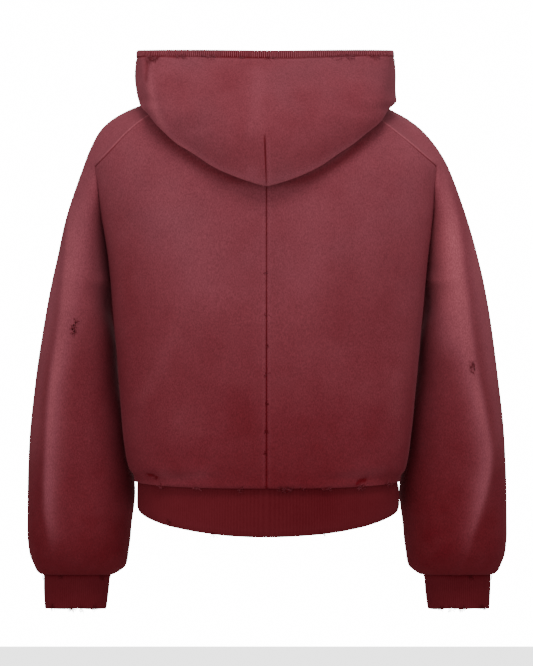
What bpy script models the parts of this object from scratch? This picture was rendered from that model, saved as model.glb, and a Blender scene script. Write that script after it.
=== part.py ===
"""Oversized raglan zip hoodie in brushed fleece, worn with its hood down, in metres and +Z up.

The wearer faces +Y, so the back of the garment faces -Y and the wearer's right arm is at +X.
The origin is the middle of the neck hole, at the height where the garment rests on the wearer.
Every cloth panel is a wall whose outer face follows one common garment surface. Neighbouring
panels share their border points and normals there, and each is then trimmed by half a seam gap.
"""
import math

import bmesh
import bpy
import numpy as np
from mathutils import Matrix, Vector

FLEECE = 0.0024            # thickness of the fleece
RIB = 0.0030               # thickness of the ribbed bands
SEAM_GAP = 0.0003          # space left between neighbouring pieces
TRIM_SHARE = 0.55          # part of that gap that each of two neighbours gives
MITRE_LIMIT = 0.5          # where sheets meet more sharply than this cosine, each keeps its own normal
SIDES = {"left": -1, "right": 1}

# Torso, a row for each level: half width, then how far the side edge, the back and the front stand
# from the wearer's middle plane.
BODY_COLUMNS = ("height", "half", "side_y", "back_y", "front_y")
BODY = (
    (0.034, 0.100, 0.000, -0.078, 0.052),
    (0.018, 0.138, -0.002, -0.088, 0.056),
    (-0.006, 0.182, -0.008, -0.108, 0.064),
    (-0.027, 0.2215, -0.015, -0.122, 0.073),
    (-0.045, 0.2435, -0.022, -0.131, 0.080),
    (-0.072, 0.259, -0.032, -0.139, 0.091),
    (-0.0965, 0.2585, -0.038, -0.144, 0.101),
    (-0.125, 0.2535, -0.040, -0.147, 0.110),
    (-0.1755, 0.2475, -0.039, -0.150, 0.121),
    (-0.243, 0.2385, -0.041, -0.151, 0.127),
    (-0.3195, 0.231, -0.045, -0.150, 0.128),
    (-0.444, 0.220, -0.045, -0.147, 0.127),
    (-0.516, 0.2125, -0.042, -0.143, 0.124),
    (-0.549, 0.208, -0.036, -0.140, 0.121),
    (-0.5655, 0.197, -0.028, -0.137, 0.117),
    (-0.578, 0.194, -0.020, -0.129, 0.112),
)
BODY_SQUARENESS = (2.5, 2.1)          # superellipse exponents of the back half and the front half

# Sleeve, a row for each level: its outermost edge, the centre of its section, and the y values of
# that centre, of the back and of the front. Above the armpit the section is a part of the shoulders.
SLEEVE_COLUMNS = ("height", "outer", "centre", "middle_y", "back_y", "front_y")
SLEEVE = (
    (0.034, 0.100, 0.000, 0.000, -0.078, 0.052),
    (0.018, 0.138, 0.000, -0.002, -0.088, 0.056),
    (-0.006, 0.182, 0.000, -0.006, -0.106, 0.064),
    (-0.027, 0.2205, 0.000, -0.009, -0.118, 0.073),
    (-0.045, 0.2415, 0.010, -0.011, -0.123, 0.078),
    (-0.072, 0.260, 0.040, -0.012, -0.125, 0.079),
    (-0.0945, 0.271, 0.080, -0.012, -0.122, 0.077),
    (-0.147, 0.2905, 0.165, -0.008, -0.106, 0.080),
    (-0.192, 0.306, 0.212, -0.002, -0.092, 0.084),
    (-0.237, 0.3185, 0.245, 0.006, -0.082, 0.090),
    (-0.270, 0.326, 0.2678, 0.014, -0.076, 0.096),
    (-0.330, 0.336, 0.2793, 0.036, -0.063, 0.106),
    (-0.420, 0.347, 0.282, 0.049, -0.050, 0.116),
    (-0.510, 0.355, 0.281, 0.056, -0.040, 0.124),
    (-0.582, 0.357, 0.2775, 0.059, -0.029, 0.132),
    (-0.645, 0.3585, 0.2818, 0.060, -0.022, 0.136),
    (-0.675, 0.3565, 0.283, 0.060, -0.014, 0.132),
    (-0.695, 0.3495, 0.2815, 0.060, 0.000, 0.118),
    (-0.7035, 0.345, 0.2843, 0.060, 0.013, 0.106),
    (-0.7075, 0.3405, 0.2855, 0.060, 0.021, 0.098),
    (-0.7095, 0.3365, 0.2855, 0.060, 0.029, 0.091),
)
SLEEVE_SQUARENESS = 2.1
SLEEVE_END = SLEEVE[-1][0]

# The garment hangs a little askew: how far the side edges stand off the middle, by height.
ASKEW = ((0.034, -0.002), (0.002, -0.002), (-0.014, -0.0095), (-0.030, -0.009), (-0.072, -0.0035),
         (-0.100, -0.001), (-0.270, 0.002), (-0.444, 0.001), (-0.578, 0.001))

ZIP_HALF_OPENING = 0.0045             # the front edges stand this far from the middle

# Neckline by turn, from 0 at the centre back over 0.5 at the shoulder to 1 at the centre front,
# as degrees round the torso and height. Its last point lies on the zip's edge.
NECKLINE = ((0.00, 0.0, 0.018), (0.14, 14.5, 0.020), (0.28, 35.0, 0.024), (0.40, 59.0, 0.0295),
            (0.50, 90.0, 0.032), (0.60, 129.0, 0.024), (0.67, 148.0, 0.008), (0.74, 159.0, -0.0085),
            (0.87, 171.0, -0.040))
NECK_FRONT = -0.058
BACK_NECK_TURN = 0.28                 # where the back raglan seam meets the neckline
FRONT_NECK_TURN = 0.74                # where the front raglan seam meets it

# Raglan seams as distance from the middle, by height: half way, and at the corner by the arm.
BACK_RAGLAN = ((-0.0277, 0.175), (-0.0965, 0.2547))
FRONT_RAGLAN = ((-0.060, 0.160), (-0.135, 0.232))
ARMPIT = -0.270
SIDE_SEAM_ANGLE = math.radians(108)
SLEEVE_FULLNESS = 0.026               # how far the sleeve stands off the torso beside the armpit
SLEEVE_SEAM_REACH = 0.30              # part of the sleeve's round that bends in to the armhole
SLEEVE_LEAVES_OUTWARD = (3.0, 5.0, 1.5)   # how fast it leaves the armhole's place, in x, y and z
SLEEVE_ROUND_DROP = 0.10              # it is full and round from this far below the armpit

HEM_SEAM = -0.567                     # hem seam at the side, and its extra drop behind and in front
HEM_SEAM_BACK_DROP = 0.0105
HEM_SEAM_FRONT_DROP = 0.006
BAND_COLUMNS = ("share", "half", "side_y", "back_y", "front_y")
BAND = (
    (0.0, 0.1935, -0.020, -0.1275, 0.1105),
    (0.3, 0.1945, -0.020, -0.1300, 0.1125),
    (0.8, 0.1945, -0.020, -0.1295, 0.1120),
    (1.0, 0.1925, -0.020, -0.1260, 0.1095),
)
BAND_BOTTOM = -0.612                  # lower edge at the side, and its extra drop
BAND_BACK_DROP = 0.040
BAND_FRONT_DROP = 0.022
BAND_ROUNDNESS = 0.62                 # how quickly that drop begins at the side

CUFF_LENGTH = 0.0515
CUFF_MIDDLE_Y = 0.060
CUFF = (                              # share of its length, centre, half width, half depth
    (0.00, 0.2860, 0.0480, 0.0290),
    (0.15, 0.2862, 0.0496, 0.0305),
    (0.85, 0.2876, 0.0472, 0.0285),
    (1.00, 0.2880, 0.0460, 0.0275),
)

# Hood, a row for each turn of the neckline: where the fold that it hangs on lies on the shoulders,
# its stand-off from them, how far the outer layer puffs out, and where the face edge ends.
HOOD_COLUMNS = ("turn", "fold_angle", "fold_z", "stand", "puff", "rim_x", "rim_y", "rim_z")
HOOD = (
    (0.00, 0.0, -0.1300, 0.024, 0.036, 0.000, -0.124, 0.0765),
    (0.15, 10.9, -0.1105, 0.020, 0.034, 0.082, -0.122, 0.0765),
    (0.28, 22.8, -0.0770, 0.017, 0.026, 0.150, -0.112, 0.0765),
    (0.40, 43.0, -0.0270, 0.013, 0.014, 0.190, -0.076, 0.0760),
    (0.50, 90.0, -0.0040, 0.008, 0.007, 0.193, -0.026, 0.0730),
    (0.62, 127.0, -0.0080, 0.010, 0.010, 0.168, 0.030, 0.0620),
    (0.75, 152.0, -0.0320, 0.013, 0.014, 0.122, 0.074, 0.0360),
    (0.88, 167.0, -0.0580, 0.013, 0.012, 0.066, 0.104, -0.0050),
    (1.00, 178.6, -0.0720, 0.012, 0.006, 0.010, 0.112, -0.0360),
)
HOOD_PUFF_SHARE = 0.42                # height of the fullest place, from the fold to the face edge
HOOD_NECK_ROLL = 0.0055               # radius in which the hood rises from the neck seam and turns over
HOOD_ROLL_ANGLES = (0, 90, 180)
HOOD_UNDER_SHARES = (0.34, 0.67)

# Zip: two tapes behind the front edges, a slider with its pull tab near the neck, and the box that
# holds the zip's lower end. A box's sizes are its left, right, inner, outer, bottom and top limits in
# the zip's own frame, with y out of the tape and z up along it.
TAPE_THICKNESS = 0.0009
TAPE_INNER_EDGE = 0.0012
TAPE_OUTER_EDGE = 0.0145
SLIDER_HEIGHT = -0.078
PIVOT_OUT = 0.0032                    # the pull tab's axis stands this far off the tape
SLIDER_PLATE = (-0.0040, 0.0040, 0.0010, 0.0022, -0.0065, 0.0065)
SLIDER_UNIONS = {
    "back_plate": (-0.0040, 0.0040, -0.0032, -0.0020, -0.0065, 0.0065),
    "post": (-0.0008, 0.0008, -0.0022, 0.0012, 0.0020, 0.0060),
    "left_flange": (-0.0040, -0.0033, 0.0003, 0.0012, -0.0060, 0.0010),
    "right_flange": (0.0033, 0.0040, 0.0003, 0.0012, -0.0060, 0.0010),
    "bridge": (-0.0011, 0.0011, 0.0021, 0.0052, -0.0045, 0.0045),
}
BRIDGE_HOLE = (-0.0020, 0.0020, 0.0024, 0.0042, -0.0030, 0.0030)
PULL_TAB = (-0.00375, 0.00375, -0.0006, 0.0006, -0.0300, -0.0062)
PULL_UNIONS = {
    "left_arm": (-0.0030, -0.0018, -0.0006, 0.0006, -0.0070, 0.0006),
    "right_arm": (0.0018, 0.0030, -0.0006, 0.0006, -0.0070, 0.0006),
}
CROSSBAR_RADIUS = 0.0005
CROSSBAR_LENGTH = 0.0048
PULL_HOLE_RADIUS = 0.0017
PULL_HOLE_HEIGHT = -0.0262
STOP = {"left": (-0.0040, -0.0014, 0.0003, 0.0015, 0.0085, 0.0105),
        "right": (0.0014, 0.0040, 0.0003, 0.0015, 0.0085, 0.0105)}
ZIP_BOX_HALF = 0.0042
ZIP_BOX_THICKNESS = 0.0016
METAL_EDGE = 0.0004                   # rounding of the zip's metal edges

# Grid sizes of the panels.
ARMHOLE_STEPS = 10
BACK_NECK_STEPS = 4
FRONT_NECK_STEPS = 4
BODY_ROWS = 9
SLEEVE_AROUND = 16
SLEEVE_LEVELS = (-0.300, -0.335, -0.385, -0.450, -0.520, -0.590, -0.645, -0.675, -0.693, -0.7035,
                 SLEEVE_END)
HOOD_OUTER_ROWS = 5
BAND_SHARES = (0.15, 0.85, 1.0)
CUFF_SHARES = (0.15, 0.85, 1.0)

WINE = (0.178, 0.030, 0.040)
DEEP_WINE = (0.096, 0.012, 0.018)
STEEL = (0.42, 0.40, 0.39)


def curve_through(keys, values):
    """Return a smooth function through the points that never swings past them."""
    order = np.argsort(keys)
    keys = np.array(keys, float)[order]
    values = np.array(values, float)[order]
    steps = np.diff(keys)
    slopes = np.diff(values) / steps
    tangents = np.zeros_like(values)
    tangents[0], tangents[-1] = slopes[0], slopes[-1]
    product = slopes[:-1] * slopes[1:]
    total = np.where(product > 0, slopes[:-1] + slopes[1:], 1.0)
    tangents[1:-1] = np.where(product > 0, 2 * product / total, 0.0)

    def value(key):
        key = np.clip(key, keys[0], keys[-1])
        cell = np.clip(np.searchsorted(keys, key) - 1, 0, len(steps) - 1)
        step = steps[cell]
        t = (key - keys[cell]) / step
        start = (1 + 2 * t) * (1 - t) ** 2 * values[cell] + t * (1 - t) ** 2 * step * tangents[cell]
        end = t * t * (3 - 2 * t) * values[cell + 1] + t * t * (t - 1) * step * tangents[cell + 1]
        return start + end

    return value


def curves_of(rows, columns):
    """Return one smooth function of the first column for each of the other named columns."""
    data = list(zip(*rows))
    return {name: curve_through(data[0], data[i]) for i, name in enumerate(columns) if i}


body = curves_of(BODY, BODY_COLUMNS)
sleeve = curves_of(SLEEVE, SLEEVE_COLUMNS)
band = curves_of(BAND, BAND_COLUMNS)
hood = curves_of(HOOD, HOOD_COLUMNS)
cuff = curves_of(CUFF, ("share", "centre", "half", "depth"))
askew = curve_through(*zip(*ASKEW))


def ease(t):
    """Return a soft step from 0 to 1."""
    t = min(max(t, 0.0), 1.0)
    return t * t * (3 - 2 * t)


def mix(a, b, t):
    """Return the value a share t of the way from a to b."""
    return a + (b - a) * t


def power(value, exponent):
    """Return a signed power, which squares off an ellipse."""
    return math.copysign(abs(value) ** exponent, value)


def section_point(angle, half, side_y, back_y, front_y, squareness):
    """Return x and y on a level section: 0 is the centre back, pi/2 the side, pi the front."""
    behind = math.cos(angle) > 0
    exponent = 2 / (squareness[0] if behind else squareness[1])
    depth = side_y - back_y if behind else front_y - side_y
    return half * power(math.sin(angle), exponent), side_y - depth * power(math.cos(angle), exponent)


def angle_at(x, half, squareness, in_front):
    """Return the section's angle where it is x from the middle."""
    exponent = squareness[1 if in_front else 0] / 2
    angle = math.asin(min(max(power(x / half, exponent), -1.0), 1.0))
    return math.pi - angle if in_front else angle


def body_point(angle, height):
    """Return a point of the torso's outer face on the right side."""
    sizes = [float(body[name](height)) for name in BODY_COLUMNS[1:]]
    x, y = section_point(angle, *sizes, BODY_SQUARENESS)
    return np.array((x, y, height))


def body_angle(x, height, in_front):
    """Return the torso's angle at a distance from the middle."""
    return angle_at(x, float(body["half"](height)), BODY_SQUARENESS, in_front)


def set_askew(points, side):
    """Mirror points to their side and shift them as the garment hangs."""
    points = np.array(points)
    reach = np.clip(np.abs(points[..., 0]) / 0.2, 0, 1)
    points[..., 0] = side * points[..., 0] + askew(points[..., 2]) * reach
    return points


NECK_TURNS, NECK_DEGREES, NECK_HEIGHTS = zip(*NECKLINE)
neck_angle = curve_through(
    (*NECK_TURNS, 1.0), (*np.radians(NECK_DEGREES), body_angle(ZIP_HALF_OPENING, NECK_FRONT, True)))
neck_height = curve_through((*NECK_TURNS, 1.0), (*NECK_HEIGHTS, NECK_FRONT))


def neck_position(turn):
    """Return the neckline's angle and height on the torso at a turn."""
    return float(neck_angle(turn)), float(neck_height(turn))


def raglan_seam(turn, rows):
    """Return the seam's distance from the middle as a function of height, from the neckline down."""
    start = body_point(*neck_position(turn))
    return curve_through(*zip((start[2], start[0]), *rows))


back_raglan = raglan_seam(BACK_NECK_TURN, BACK_RAGLAN)
front_raglan = raglan_seam(FRONT_NECK_TURN, FRONT_RAGLAN)


def armhole_angle(height, in_front):
    """Return the angle at which the torso meets the sleeve at a height."""
    raglan = front_raglan if in_front else back_raglan
    corner = (FRONT_RAGLAN if in_front else BACK_RAGLAN)[-1][0]
    if height >= corner:
        return body_angle(float(raglan(height)), height, in_front)
    start = body_angle(float(raglan(corner)), corner, in_front)
    return mix(start, SIDE_SEAM_ANGLE, ease((corner - height) / (corner - ARMPIT)))


def armhole_height(step, in_front):
    """Return the height of a step down the armhole, from the neckline to the armpit."""
    top = float(neck_height(FRONT_NECK_TURN if in_front else BACK_NECK_TURN))
    return mix(top, ARMPIT, step / ARMHOLE_STEPS)


def hem_height(angle):
    """Return the height of the hem seam."""
    drop = HEM_SEAM_BACK_DROP if math.cos(angle) > 0 else HEM_SEAM_FRONT_DROP
    return HEM_SEAM - drop * abs(math.cos(angle))


def panel_top(in_front):
    """Return angle and height along a half panel's upper border, from the middle to the armpit."""
    steps = FRONT_NECK_STEPS if in_front else BACK_NECK_STEPS
    middle, neck = (1.0, FRONT_NECK_TURN) if in_front else (0.0, BACK_NECK_TURN)
    top = [neck_position(mix(middle, neck, i / steps)) for i in range(steps)]
    for step in range(ARMHOLE_STEPS + 1):
        height = armhole_height(step, in_front)
        top.append((armhole_angle(height, in_front), height))
    return top


def torso_panel(in_front):
    """Return the grid of one half panel, a row for each line from the hem to the upper border."""
    top = panel_top(in_front)
    middle = body_angle(ZIP_HALF_OPENING, HEM_SEAM, True) if in_front else 0.0
    grid = []
    for column, (top_angle, top_height) in enumerate(top):
        share = column / (len(top) - 1)
        hem_angle = mix(middle, SIDE_SEAM_ANGLE, share)
        line = []
        for row in range(BODY_ROWS + 1):
            rise = row / BODY_ROWS
            rise = mix(rise, 1 - (1 - rise) ** 1.25, 0.5)
            height = mix(hem_height(hem_angle), top_height, rise)
            angle = mix(hem_angle, top_angle, ease(rise) * 0.5 + rise * 0.5)
            if in_front and column == 0:
                angle = body_angle(ZIP_HALF_OPENING, height, True)
            line.append(body_point(angle, height))
        grid.append(line)
    return np.array(grid)


def sleeve_section(angle, height):
    """Return a point of the sleeve's full section: pi/2 is its outer edge, -pi/2 its inner one."""
    outer, centre, middle_y, back_y, front_y = [float(sleeve[n](height)) for n in SLEEVE_COLUMNS[1:]]
    squareness = (SLEEVE_SQUARENESS, SLEEVE_SQUARENESS)
    x, y = section_point(angle, outer - centre, middle_y, back_y, front_y, squareness)
    return np.array((centre + x, y, height))


def sleeve_edge(height, in_front):
    """Return the sleeve's angle and its true place at the armhole, or at the underarm seam."""
    centre = float(sleeve["centre"](height))
    half = float(sleeve["outer"](height)) - centre
    squareness = (SLEEVE_SQUARENESS, SLEEVE_SQUARENESS)
    corner = (FRONT_RAGLAN if in_front else BACK_RAGLAN)[-1][0]
    level = max(height, ARMPIT)
    place = body_point(armhole_angle(level, in_front), level)
    if height >= ARMPIT:
        fullness = SLEEVE_FULLNESS * ease((corner - height) / (corner - ARMPIT))
        return angle_at(place[0] + fullness - centre, half, squareness, in_front), place
    start, _ = sleeve_edge(ARMPIT, in_front)
    inner = 1.5 * math.pi if in_front else -0.5 * math.pi
    drop = ease((ARMPIT - height) / SLEEVE_ROUND_DROP)
    offset = place - sleeve_section(inner, ARMPIT)
    return mix(start, inner, drop), sleeve_section(inner, height) + offset * (1 - drop)


def sleeve_place(turn, heights, top_share):
    """Return a point between the sleeve's two edges, before the neckline draws it in."""
    collar_angles = [neck_position(t)[0] for t in (BACK_NECK_TURN, FRONT_NECK_TURN)]
    collar_angle, neck_level = neck_position(mix(BACK_NECK_TURN, FRONT_NECK_TURN, turn))
    flat = mix(armhole_height(0, False), armhole_height(0, True), turn)
    height = mix(*heights, turn) + (neck_level - flat) * top_share ** 2
    back_angle, back_place = sleeve_edge(heights[0], False)
    front_angle, front_place = sleeve_edge(heights[1], True)
    angle = mix(back_angle, front_angle, turn)
    angle += (collar_angle - mix(*collar_angles, turn)) * top_share ** 3
    back_pull = max(1 - turn / SLEEVE_SEAM_REACH, 0.0) ** np.array(SLEEVE_LEAVES_OUTWARD)
    front_pull = max(1 - (1 - turn) / SLEEVE_SEAM_REACH, 0.0) ** np.array(SLEEVE_LEAVES_OUTWARD)
    back_offset = back_place - sleeve_section(back_angle, heights[0])
    front_offset = front_place - sleeve_section(front_angle, heights[1])
    return sleeve_section(angle, height) + back_offset * back_pull + front_offset * front_pull


def sleeve_point(turn, heights, top_share):
    """Return a sleeve point at a turn from the back seam, 0, to the front one, 1."""
    top = armhole_height(0, False), armhole_height(0, True)
    collar = body_point(*neck_position(mix(BACK_NECK_TURN, FRONT_NECK_TURN, turn)))
    drawn = (collar - sleeve_place(turn, top, 1.0)) * top_share ** 3
    return sleeve_place(turn, heights, top_share) + drawn


def sleeve_panel():
    """Return the sleeve's grid, a row for each level from the neckline to the cuff seam."""
    grid = []
    for step in range(ARMHOLE_STEPS + 1):
        heights = armhole_height(step, False), armhole_height(step, True)
        top_share = 1 - step / ARMHOLE_STEPS
        line = [sleeve_point(i / SLEEVE_AROUND, heights, top_share) for i in range(SLEEVE_AROUND + 1)]
        line[0] = body_point(armhole_angle(heights[0], False), heights[0])
        line[-1] = body_point(armhole_angle(heights[1], True), heights[1])
        grid.append(line)
    for level in SLEEVE_LEVELS:
        line = [sleeve_point(i / SLEEVE_AROUND, (level, level), 0.0) for i in range(SLEEVE_AROUND + 1)]
        grid.append(line)
    return np.array(grid)


def band_panel(hem_row, in_front):
    """Return the hem band's grid for one half panel, hanging from the hem row's points."""
    drop = BAND_FRONT_DROP if in_front else BAND_BACK_DROP
    middle = body_angle(ZIP_HALF_OPENING, HEM_SEAM, True) if in_front else 0.0
    grid = [hem_row]
    for share in BAND_SHARES:
        sizes = [float(band[name](share)) for name in BAND_COLUMNS[1:]]
        line = []
        for column, top in enumerate(hem_row):
            angle = mix(middle, SIDE_SEAM_ANGLE, column / (len(hem_row) - 1))
            x, y = section_point(angle, *sizes, BODY_SQUARENESS)
            if in_front and column == 0:
                x = ZIP_HALF_OPENING
            bottom = BAND_BOTTOM - drop * max(1 - (x / sizes[0]) ** 2, 0.0) ** BAND_ROUNDNESS
            line.append((x, y, mix(top[2], bottom, share)))
        grid.append(line)
    return np.array(grid)


def cuff_panel(seam_row):
    """Return the cuff's grid, hanging from the sleeve's last row."""
    grid = [seam_row]
    for share in CUFF_SHARES:
        centre, half, depth = [float(cuff[name](share)) for name in ("centre", "half", "depth")]
        line = []
        for i in range(SLEEVE_AROUND + 1):
            angle = mix(-0.5 * math.pi, 1.5 * math.pi, i / SLEEVE_AROUND)
            x = centre + half * math.sin(angle)
            line.append((x, CUFF_MIDDLE_Y - depth * math.cos(angle), SLEEVE_END - CUFF_LENGTH * share))
        grid.append(line)
    return np.array(grid)


def body_normal(angle, height):
    """Return the direction straight out of the torso's outer face."""
    small = 0.01
    around = body_point(angle + small, height) - body_point(angle - small, height)
    along = body_point(angle, height + small / 10) - body_point(angle, height - small / 10)
    normal = np.cross(around, along)
    return normal / np.linalg.norm(normal)


def hood_under_point(turn, share):
    """Return a point of the layer that lies on the shoulders, from the neck to the fold."""
    sizes = {name: float(hood[name](turn)) for name in ("fold_angle", "fold_z", "stand")}
    collar_angle, neck_level = neck_position(turn)
    angle = mix(collar_angle, math.radians(sizes["fold_angle"]), share)
    height = mix(neck_level, sizes["fold_z"], share)
    stand = mix(2 * HOOD_NECK_ROLL, sizes["stand"], share ** 1.5)
    return body_point(angle, height) + body_normal(angle, height) * stand


def hood_roll_point(turn, angle):
    """Return a point of the roll over the neck seam, at an angle round the roll."""
    place = neck_position(turn)
    normal = body_normal(*place)
    rise = np.array((0.0, 0.0, 1.0)) - normal * normal[2]
    rise /= np.linalg.norm(rise)
    bend = normal * (1 - math.cos(angle)) + rise * math.sin(angle)
    return body_point(*place) + bend * HOOD_NECK_ROLL


def hood_column(turn):
    """Return the points of one line of the hood, from the neck seam over the fold to the face edge."""
    under = [hood_roll_point(turn, math.radians(angle)) for angle in HOOD_ROLL_ANGLES]
    under += [hood_under_point(turn, share) for share in HOOD_UNDER_SHARES]
    fold = hood_under_point(turn, 1.0)
    rim = np.array([float(hood[name](turn)) for name in ("rim_x", "rim_y", "rim_z")])
    outward = body_normal(math.radians(float(hood["fold_angle"](turn))), float(hood["fold_z"](turn)))
    outward[2] = 0.0
    outward /= np.linalg.norm(outward)
    full = mix(fold, rim, HOOD_PUFF_SHARE) + outward * float(hood["puff"](turn))
    knots = (under[-1], fold, full, rim, 2 * rim - full)
    line = list(under)
    for step in range(HOOD_OUTER_ROWS + 1):
        place = 2 * step / HOOD_OUTER_ROWS
        knot = min(int(place), 1)
        a, b, c, d = knots[knot:knot + 4]
        t = place - knot
        line.append(0.5 * (2 * b + (c - a) * t + (2 * a - 5 * b + 4 * c - d) * t ** 2
                           + (3 * b - a - 3 * c + d) * t ** 3))
    return line


def hood_turns():
    """Return the turns of the hood's lines, which meet the points of the panels below."""
    back = [mix(0.0, BACK_NECK_TURN, i / BACK_NECK_STEPS) for i in range(BACK_NECK_STEPS)]
    sides = [mix(BACK_NECK_TURN, FRONT_NECK_TURN, i / SLEEVE_AROUND) for i in range(SLEEVE_AROUND)]
    front = [mix(FRONT_NECK_TURN, 1.0, i / FRONT_NECK_STEPS) for i in range(FRONT_NECK_STEPS + 1)]
    return back + sides + front


def both_sides(right_half):
    """Return a grid from the left front over the middle to the right front, given its right half."""
    left = set_askew(right_half, -1)[:, :0:-1]
    return np.concatenate((left, set_askew(right_half, 1)), axis=1)


def grid_faces(rows, columns, wrap_row=None):
    """Return a grid's quads; from wrap_row on, the last column is the first one."""

    def index(row, column):
        wraps = wrap_row is not None and row >= wrap_row and column == columns - 1
        return row * columns + (0 if wraps else column)

    return [(index(r, c), index(r, c + 1), index(r + 1, c + 1), index(r + 1, c))
            for r in range(rows - 1) for c in range(columns - 1)]


def split_quad(points, quad):
    """Return a quad's two triangles, split along its shorter diagonal, so all its layers agree."""
    a, b, c, d = quad
    if np.linalg.norm(points[a] - points[c]) <= np.linalg.norm(points[b] - points[d]):
        return (a, b, c), (a, c, d)
    return (a, b, d), (b, c, d)


class Sheet:
    """The outer face of one cloth piece, its thickness and its looks."""

    def __init__(self, name, grid, thickness, colour, flip=False, wrap_row=None):
        faces = grid_faces(grid.shape[0], grid.shape[1], wrap_row)
        used = sorted({i for face in faces for i in face})
        place = {old: new for new, old in enumerate(used)}
        self.name = name
        self.points = grid.reshape(-1, 3)[used]
        quads = [tuple(place[i] for i in (face[::-1] if flip else face)) for face in faces]
        self.faces = [triangle for quad in quads for triangle in split_quad(self.points, quad)]
        self.thickness = thickness
        self.colour = colour


def face_normal(points, face):
    """Return a triangle's normal, as long as twice its area."""
    a, b, c = (points[i] for i in face)
    return np.cross(b - a, c - a)


def point_key(point):
    """Return a point rounded to a micrometre, to find it again in a neighbouring sheet."""
    return tuple(np.round(point, 6) + 0.0)


def own_normals(sheet):
    """Return the unit normal of each of a sheet's points."""
    normals = np.zeros_like(sheet.points)
    for face in sheet.faces:
        normals[list(face)] += face_normal(sheet.points, face)
    return normals / np.linalg.norm(normals, axis=1)[:, None]


def shared_normals(sheets):
    """Return each sheet's point normals, averaged and mitred where sheets meet in a gentle fold."""
    meeting = {}
    own = {sheet.name: own_normals(sheet) for sheet in sheets}
    for sheet in sheets:
        for point, normal in zip(sheet.points, own[sheet.name]):
            meeting.setdefault(point_key(point), []).append(normal)
    mitred = {}
    for key, normals in meeting.items():
        total = sum(normals)
        average = total / max(np.linalg.norm(total), 1e-9)
        slant = min(float(normal @ average) for normal in normals)
        if slant > MITRE_LIMIT:
            mitred[key] = average / slant
    found = {}
    for sheet in sheets:
        points = zip(sheet.points, own[sheet.name])
        found[sheet.name] = np.array([mitred.get(point_key(point), normal) for point, normal in points])
    return found


def border_edges(faces):
    """Return the directed edges that only one face has, with that face."""
    owner = {}
    for face in faces:
        for i, start in enumerate(face):
            owner[(start, face[(i + 1) % len(face)])] = face
    return {edge: face for edge, face in owner.items() if edge[::-1] not in owner}


def trim_moves(sheet, normals):
    """Return how far each point moves so that every border draws back by half a seam gap."""
    inward = {}
    for (start, end), face in border_edges(sheet.faces).items():
        along = sheet.points[end] - sheet.points[start]
        across = np.cross(face_normal(sheet.points, face), along)
        across /= np.linalg.norm(across)
        inward.setdefault(start, []).append(across)
        inward.setdefault(end, []).append(across)
    moves = np.zeros_like(sheet.points)
    for i, directions in inward.items():
        total = sum(directions)
        moves[i] = total * SEAM_GAP * TRIM_SHARE * len(directions) / max(total @ total, 1.0)
    return moves * np.linalg.norm(normals, axis=1)[:, None]


def add_material(obj, colour, roughness, metallic=0.0):
    """Give an object a material of its own."""
    material = bpy.data.materials.new(obj.name)
    material.use_nodes = True
    shader = material.node_tree.nodes["Principled BSDF"]
    shader.inputs["Base Color"].default_value = (*colour, 1.0)
    shader.inputs["Roughness"].default_value = roughness
    shader.inputs["Metallic"].default_value = metallic
    obj.data.materials.append(material)


def add_mesh(name, points, faces):
    """Add an object with this mesh to the garment's collection."""
    mesh = bpy.data.meshes.new(name)
    mesh.from_pydata([tuple(map(float, point)) for point in points], [], faces)
    obj = bpy.data.objects.new(name, mesh)
    garment.objects.link(obj)
    return obj


def add_wall(sheet, normals):
    """Add a closed wall from a sheet: its outer face, an inner face and the strips between them."""
    outer = sheet.points + trim_moves(sheet, normals)
    inner = outer - normals * sheet.thickness
    count = len(outer)
    faces = list(sheet.faces)
    faces += [tuple(i + count for i in reversed(face)) for face in sheet.faces]
    for start, end in border_edges(sheet.faces):
        # Both walls of a seam split their strips along the same diagonal, so they stay parallel.
        if tuple(np.round(sheet.points[start], 6)) < tuple(np.round(sheet.points[end], 6)):
            faces += [(end, start, end + count), (start, start + count, end + count)]
        else:
            faces += [(end, start, start + count), (end, start + count, end + count)]
    obj = add_mesh(sheet.name, np.concatenate((outer, inner)), faces)
    obj.data.shade_smooth()
    obj.data.set_sharp_from_angle(angle=math.radians(40))
    add_material(obj, sheet.colour, 0.92)


def cloth_sheets():
    """Return the sheets of all cloth pieces, sewn together border to border."""
    sheets = []
    front = torso_panel(True)
    back = torso_panel(False)
    sleeves = sleeve_panel()
    cuffs = cuff_panel(sleeves[-1])
    hem_front = band_panel(front[:, 0], True)
    hem_back = band_panel(back[:, 0], False)
    for side_name, side in SIDES.items():
        right = side > 0
        for place, grid in (("back", back), ("front", front)):
            flip = right == (place == "back")
            sheets.append(Sheet(f"{place}_{side_name}", set_askew(grid, side), FLEECE, WINE, flip))
        sheets.append(Sheet(f"sleeve_{side_name}", set_askew(sleeves, side), FLEECE, WINE, right,
                            wrap_row=ARMHOLE_STEPS))
        sheets.append(Sheet(f"cuff_{side_name}", set_askew(cuffs, side), RIB, DEEP_WINE, right, wrap_row=0))
    half_band = np.concatenate((hem_back, hem_front[:, -2::-1]), axis=1)
    sheets.append(Sheet("hem_band", both_sides(half_band), RIB, DEEP_WINE, flip=True))
    half_hood = np.array([hood_column(turn) for turn in hood_turns()]).transpose(1, 0, 2)
    sheets.append(Sheet("hood", both_sides(half_hood), FLEECE, WINE))
    return sheets


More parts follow.
